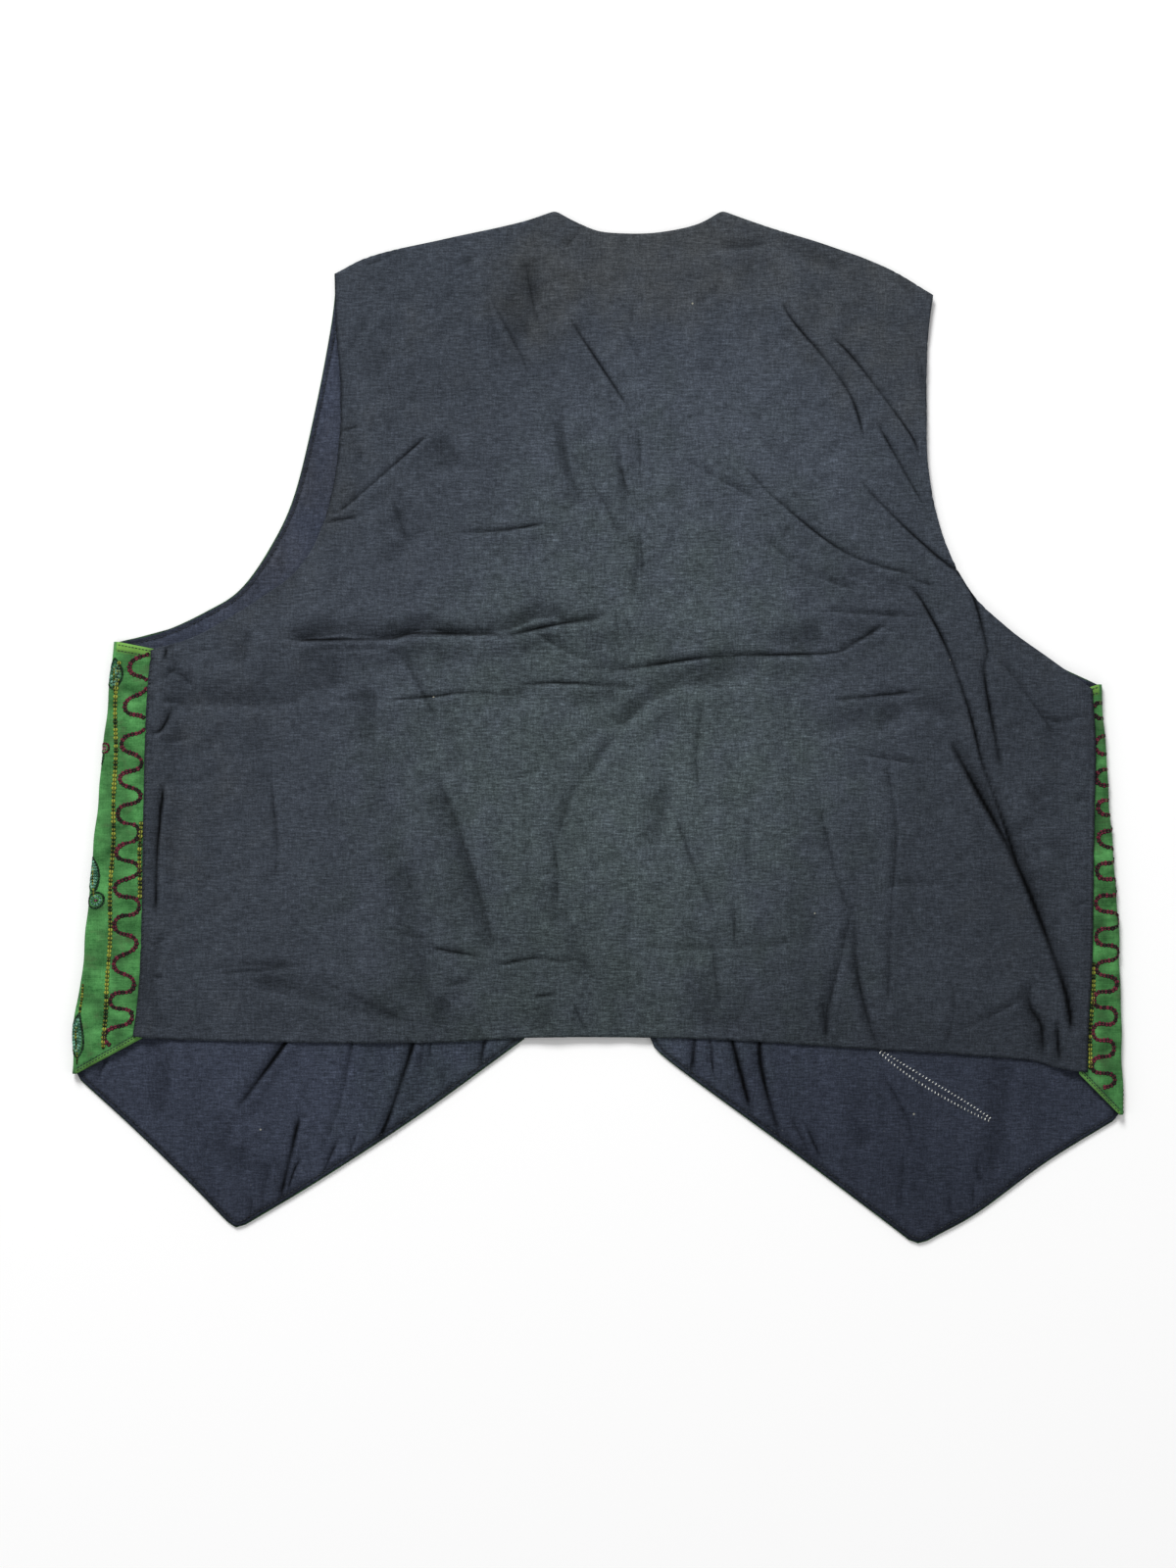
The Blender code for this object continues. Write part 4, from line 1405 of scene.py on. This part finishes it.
SPRIG_SPACING = 66.0
SPRIG_MARGIN = 42.0
SPRIG_FOLD_MARGIN = 24.0


def field_sprigs(front, threads, seed):
    """Sprigs in staggered rows over the face that lies on the floor, clear of the borders."""
    hem, shoulder, centre, side_line = front.edges(40, 30, (20, 15))
    outline = np.vstack([hem, side_line[1:], shoulder[::-1][1:], centre[::-1][1:]])
    rims = np.vstack([hem, side_line[40:], shoulder, centre])
    draw = np.random.default_rng(seed)
    low, high = outline.min(axis=0), outline.max(axis=0)
    row = 0
    y = low[1] + 30.0
    while y < high[1]:
        x = low[0] + (SPRIG_SPACING / 2 if row % 2 else 0.0)
        while x < high[0]:
            point = np.array([x, y])
            edge = np.linalg.norm(rims - point, axis=1).min()
            fold_gap = front.outward * (front.fold_x(y) - x)
            if inside(outline, point) and edge > SPRIG_MARGIN and fold_gap > SPRIG_FOLD_MARGIN:
                sprig(front, threads, point, draw.uniform(-14, 14))
            x += SPRIG_SPACING
        y += 0.8 * SPRIG_SPACING
        row += 1


# Motifs that show at the left fold: kind, base and tip as places on top, and width
LEFT_FOLD_MOTIFS = (
    ("leaf", Edge(-295.5, 24), Edge(-295, 43), 10.0),
    ("bud", Edge(-301.5, -12), Edge(-301, -6), 0),
    ("leaf", Edge(-308, -100), Edge(-309, -78), 7.5),
    ("rosette", Edge(-306.5, -105), Edge(-306.5, -100), 4.8),
    ("leaf", Edge(-318, -201), Edge(-316.5, -174), 9.0),
    ("stem", Edge(-316.5, -174), Edge(-314.5, -156), 0),
)


def fold_motifs(front, threads):
    """The motifs that peep round the left fold."""
    for kind, base, tip, width in LEFT_FOLD_MOTIFS:
        start, end = front.unfold(np.array([base.x, tip.x]), np.array([base.y, tip.y]))
        run = end - start
        angle = -math.degrees(math.atan2(run[0], run[1]))
        if kind == "leaf":
            leaf(front, threads, start, angle, float(np.hypot(*run)), width)
        elif kind == "rosette":
            rosette(front, threads, start, width)
        elif kind == "bud":
            bud(front, threads, start, angle)
        else:
            chain_row(threads["yellow"], front, np.array([start, end]), 1.9, 1.8)


EDGE_INSET = 6.0


def embroider(front):
    """All the chain stitch of one front, as a piece for each colour of thread."""
    seed = front.table["seed"]
    threads = {name: Stitching(seed + number) for number, name in enumerate(THREADS)}
    side_border(front, threads, front.table["period"], front.table["phase"], seed)
    if front.side == "left":
        fold_motifs(front, threads)
    edges = (*front.hem, curve(front.table["centre"], 120)[::-1])
    for number, line in enumerate(edges):
        edge_border(front, threads, front.turned(line), EDGE_INSET, seed + 20 + number)
    field_sprigs(front, threads, seed + 40)
    for name, stitching in threads.items():
        material, slot = THREADS[name]
        stitching.finish(f"embroidery_{front.side}_{name}", material, slot)


def stitch_pairs(stitching, starts, ends, at, width, height, lift=0.0):
    """Straight stitches between plan points, lying on cloth whose height a function gives."""
    high = at((starts + ends) / 2)[:, None] + WALL / 2 + lift
    up = np.tile([0.0, 0.0, 1.0], (len(starts), 1))
    stitching.add(DASH, np.hstack([starts, high]), np.hstack([ends, high]), up, width, height)


TOPSTITCH_INSET = 3.2
TOPSTITCH, TOPSTITCH_PITCH = 1.8, 2.4


def topstitch(front, at):
    """The line of machine stitches just inside the hem and the armhole, as the lining shows it."""
    thread = Stitching(61)
    for line in (chain(*front.hem), curve(front.table["armhole"], 90)):
        line = front.turned(line)
        row = along_line(line, np.arange(2.0, run_of(line)[-1] - 2.0, 1.5), TOPSTITCH_INSET)
        stops = np.arange(TOPSTITCH_PITCH / 2, run_of(row)[-1] - TOPSTITCH, TOPSTITCH_PITCH)
        ends = at_stops(row, stops + TOPSTITCH)
        stitch_pairs(thread, at_stops(row, stops), ends, at, 0.7, 0.35, -0.05)
    thread.finish(f"topstitch_{front.side}", SEAM_THREAD, "seam_thread")


# Two rows of short white stitches on the right lining, like an old repair, as places in plan
LADDER = (Edge(172, -197), Edge(186, -207), Edge(204, -218.5), Edge(222, -229), Edge(242, -240.5))
LADDER_PITCH = 2.3
LADDER_GAP = 4.4


def ladder(at):
    """The two rows of white stitches, which part in the middle and meet at the ends."""
    thread = Stitching(71)
    line = curve(LADDER, 60)
    length = run_of(line)[-1]
    stops = np.arange(1.0, length - 1.0, LADDER_PITCH)
    half = 0.5 * LADDER_GAP * np.sin(math.pi * np.clip(stops / length, 0.02, 0.98)) ** 0.5
    for side in (-1, 1):
        inner = along_line(line, stops, side * (half - 0.6))
        outer = along_line(line, stops + 0.5, side * (half + 0.9))
        stitch_pairs(thread, inner, outer, at, 0.55, 0.4)
    thread.finish("ladder_stitches", WHITE_THREAD, "white_thread")


FELLING_PITCH = 2.5


def seam_stitches(back_at, seams):
    """Small dark felling stitches over the back's side edges."""
    thread = Stitching(81)
    for seam, outward in zip(seams, (-1, 1)):
        line = resample(seam, int(run_of(seam)[-1] / FELLING_PITCH))[1:-1]
        inner = line - [outward * 1.9, 0.0]
        outer = line - [outward * 0.5, 0.9]
        stitch_pairs(thread, inner, outer, back_at, 0.4, 0.25, -0.05)
    thread.finish("seam_stitches", SEAM_THREAD, "seam_thread")


# ---- build
# Each thread's colour under the painted shade in the pits of a stitch, and under the painted highlight on its
# back
THREAD_COLOURS = {
    "yellow": ((14, 32, 8), (156, 162, 62)),
    "wine": ((16, 2, 7), (112, 31, 55)),
    "pink": ((60, 26, 40), (178, 110, 136)),
    "teal": ((26, 74, 56), (128, 186, 160)),
    "dark": ((6, 20, 10), (36, 74, 46)),
}
CHARCOAL = charcoal_finish("charcoal_cotton", srgb(66, 72, 81), 0.95, 0)
LINING = charcoal_finish("charcoal_lining", srgb(65, 71, 86), 0.97, 17)
GREEN = green_finish()
THREADS = {
    name: (thread_finish(f"{name}_thread", srgb(*dark), srgb(*light)), f"{name}_thread")
    for name, (dark, light) in THREAD_COLOURS.items()
}
WHITE_THREAD = thread_finish("white_thread", srgb(150, 152, 146), srgb(232, 234, 228))
SEAM_THREAD = thread_finish("seam_thread", srgb(14, 17, 20), srgb(46, 50, 56))

back, back_plan, back_z, seams = make_back()
back_at = surface_at(back_plan[::2, ::2], back_z[::2, ::2])
for side, seam in zip(FRONTS, seams):
    front = Front(side, seam)
    shell = make_shell(front)
    lining, lining_plan, lining_z = make_lining(front)
    lining_at = surface_at(lining_plan, lining_z)
    topstitch(front, lining_at)
    if side == "right":
        ladder(lining_at)
    embroider(front)
seam_stitches(back_at, seams)

# ---- floor, light and camera
# The floor's side, the height of the frame at the floor and the place it is centred on, in metres
FLOOR_SIDE = 24.0
FRAME_HEIGHT = 0.960
VIEW_X, VIEW_Y = -0.006, -0.0339
LENS, SENSOR = 85.0, 36.0
SKY_STRENGTH = 0.47

bpy.ops.mesh.primitive_plane_add(size=FLOOR_SIDE, location=(0, 0, 0))
floor = bpy.context.object
floor.name = "floor"
floor_finish = Finish("floor", 0.9)
floor.data.materials.append(floor_finish.colour(srgb(251, 251, 251)))


def add_light(name, place, size, power):
    """A square softbox that faces the middle of the vest."""
    data = bpy.data.lights.new(name, "AREA")
    data.shape = "SQUARE"
    data.size = size
    data.energy = power
    light = bpy.data.objects.new(name, data)
    light.location = place
    light.rotation_euler = (-light.location).to_track_quat("-Z", "Y").to_euler()
    bpy.context.scene.collection.objects.link(light)


add_light("key", (-1.5, 4.5, 3.5), 2.0, 330.0)
add_light("fill_left", (-5.0, -1.0, 3.5), 3.0, 22.0)
add_light("fill_right", (5.0, -1.5, 3.5), 3.0, 22.0)

world = bpy.data.worlds.new("studio")
world.use_nodes = True
sky = world.node_tree.nodes["Background"].inputs
sky["Color"].default_value = (1.0, 1.0, 1.0, 1.0)
sky["Strength"].default_value = SKY_STRENGTH
bpy.context.scene.world = world
bpy.context.scene.view_settings.view_transform = "Standard"

camera_data = bpy.data.cameras.new("camera")
camera_data.lens = LENS
camera_data.sensor_width = SENSOR
camera_data.clip_end = 50.0
camera = bpy.data.objects.new("camera", camera_data)
camera.location = (VIEW_X, VIEW_Y, FRAME_HEIGHT * LENS / SENSOR)
bpy.context.scene.collection.objects.link(camera)
bpy.context.scene.camera = camera
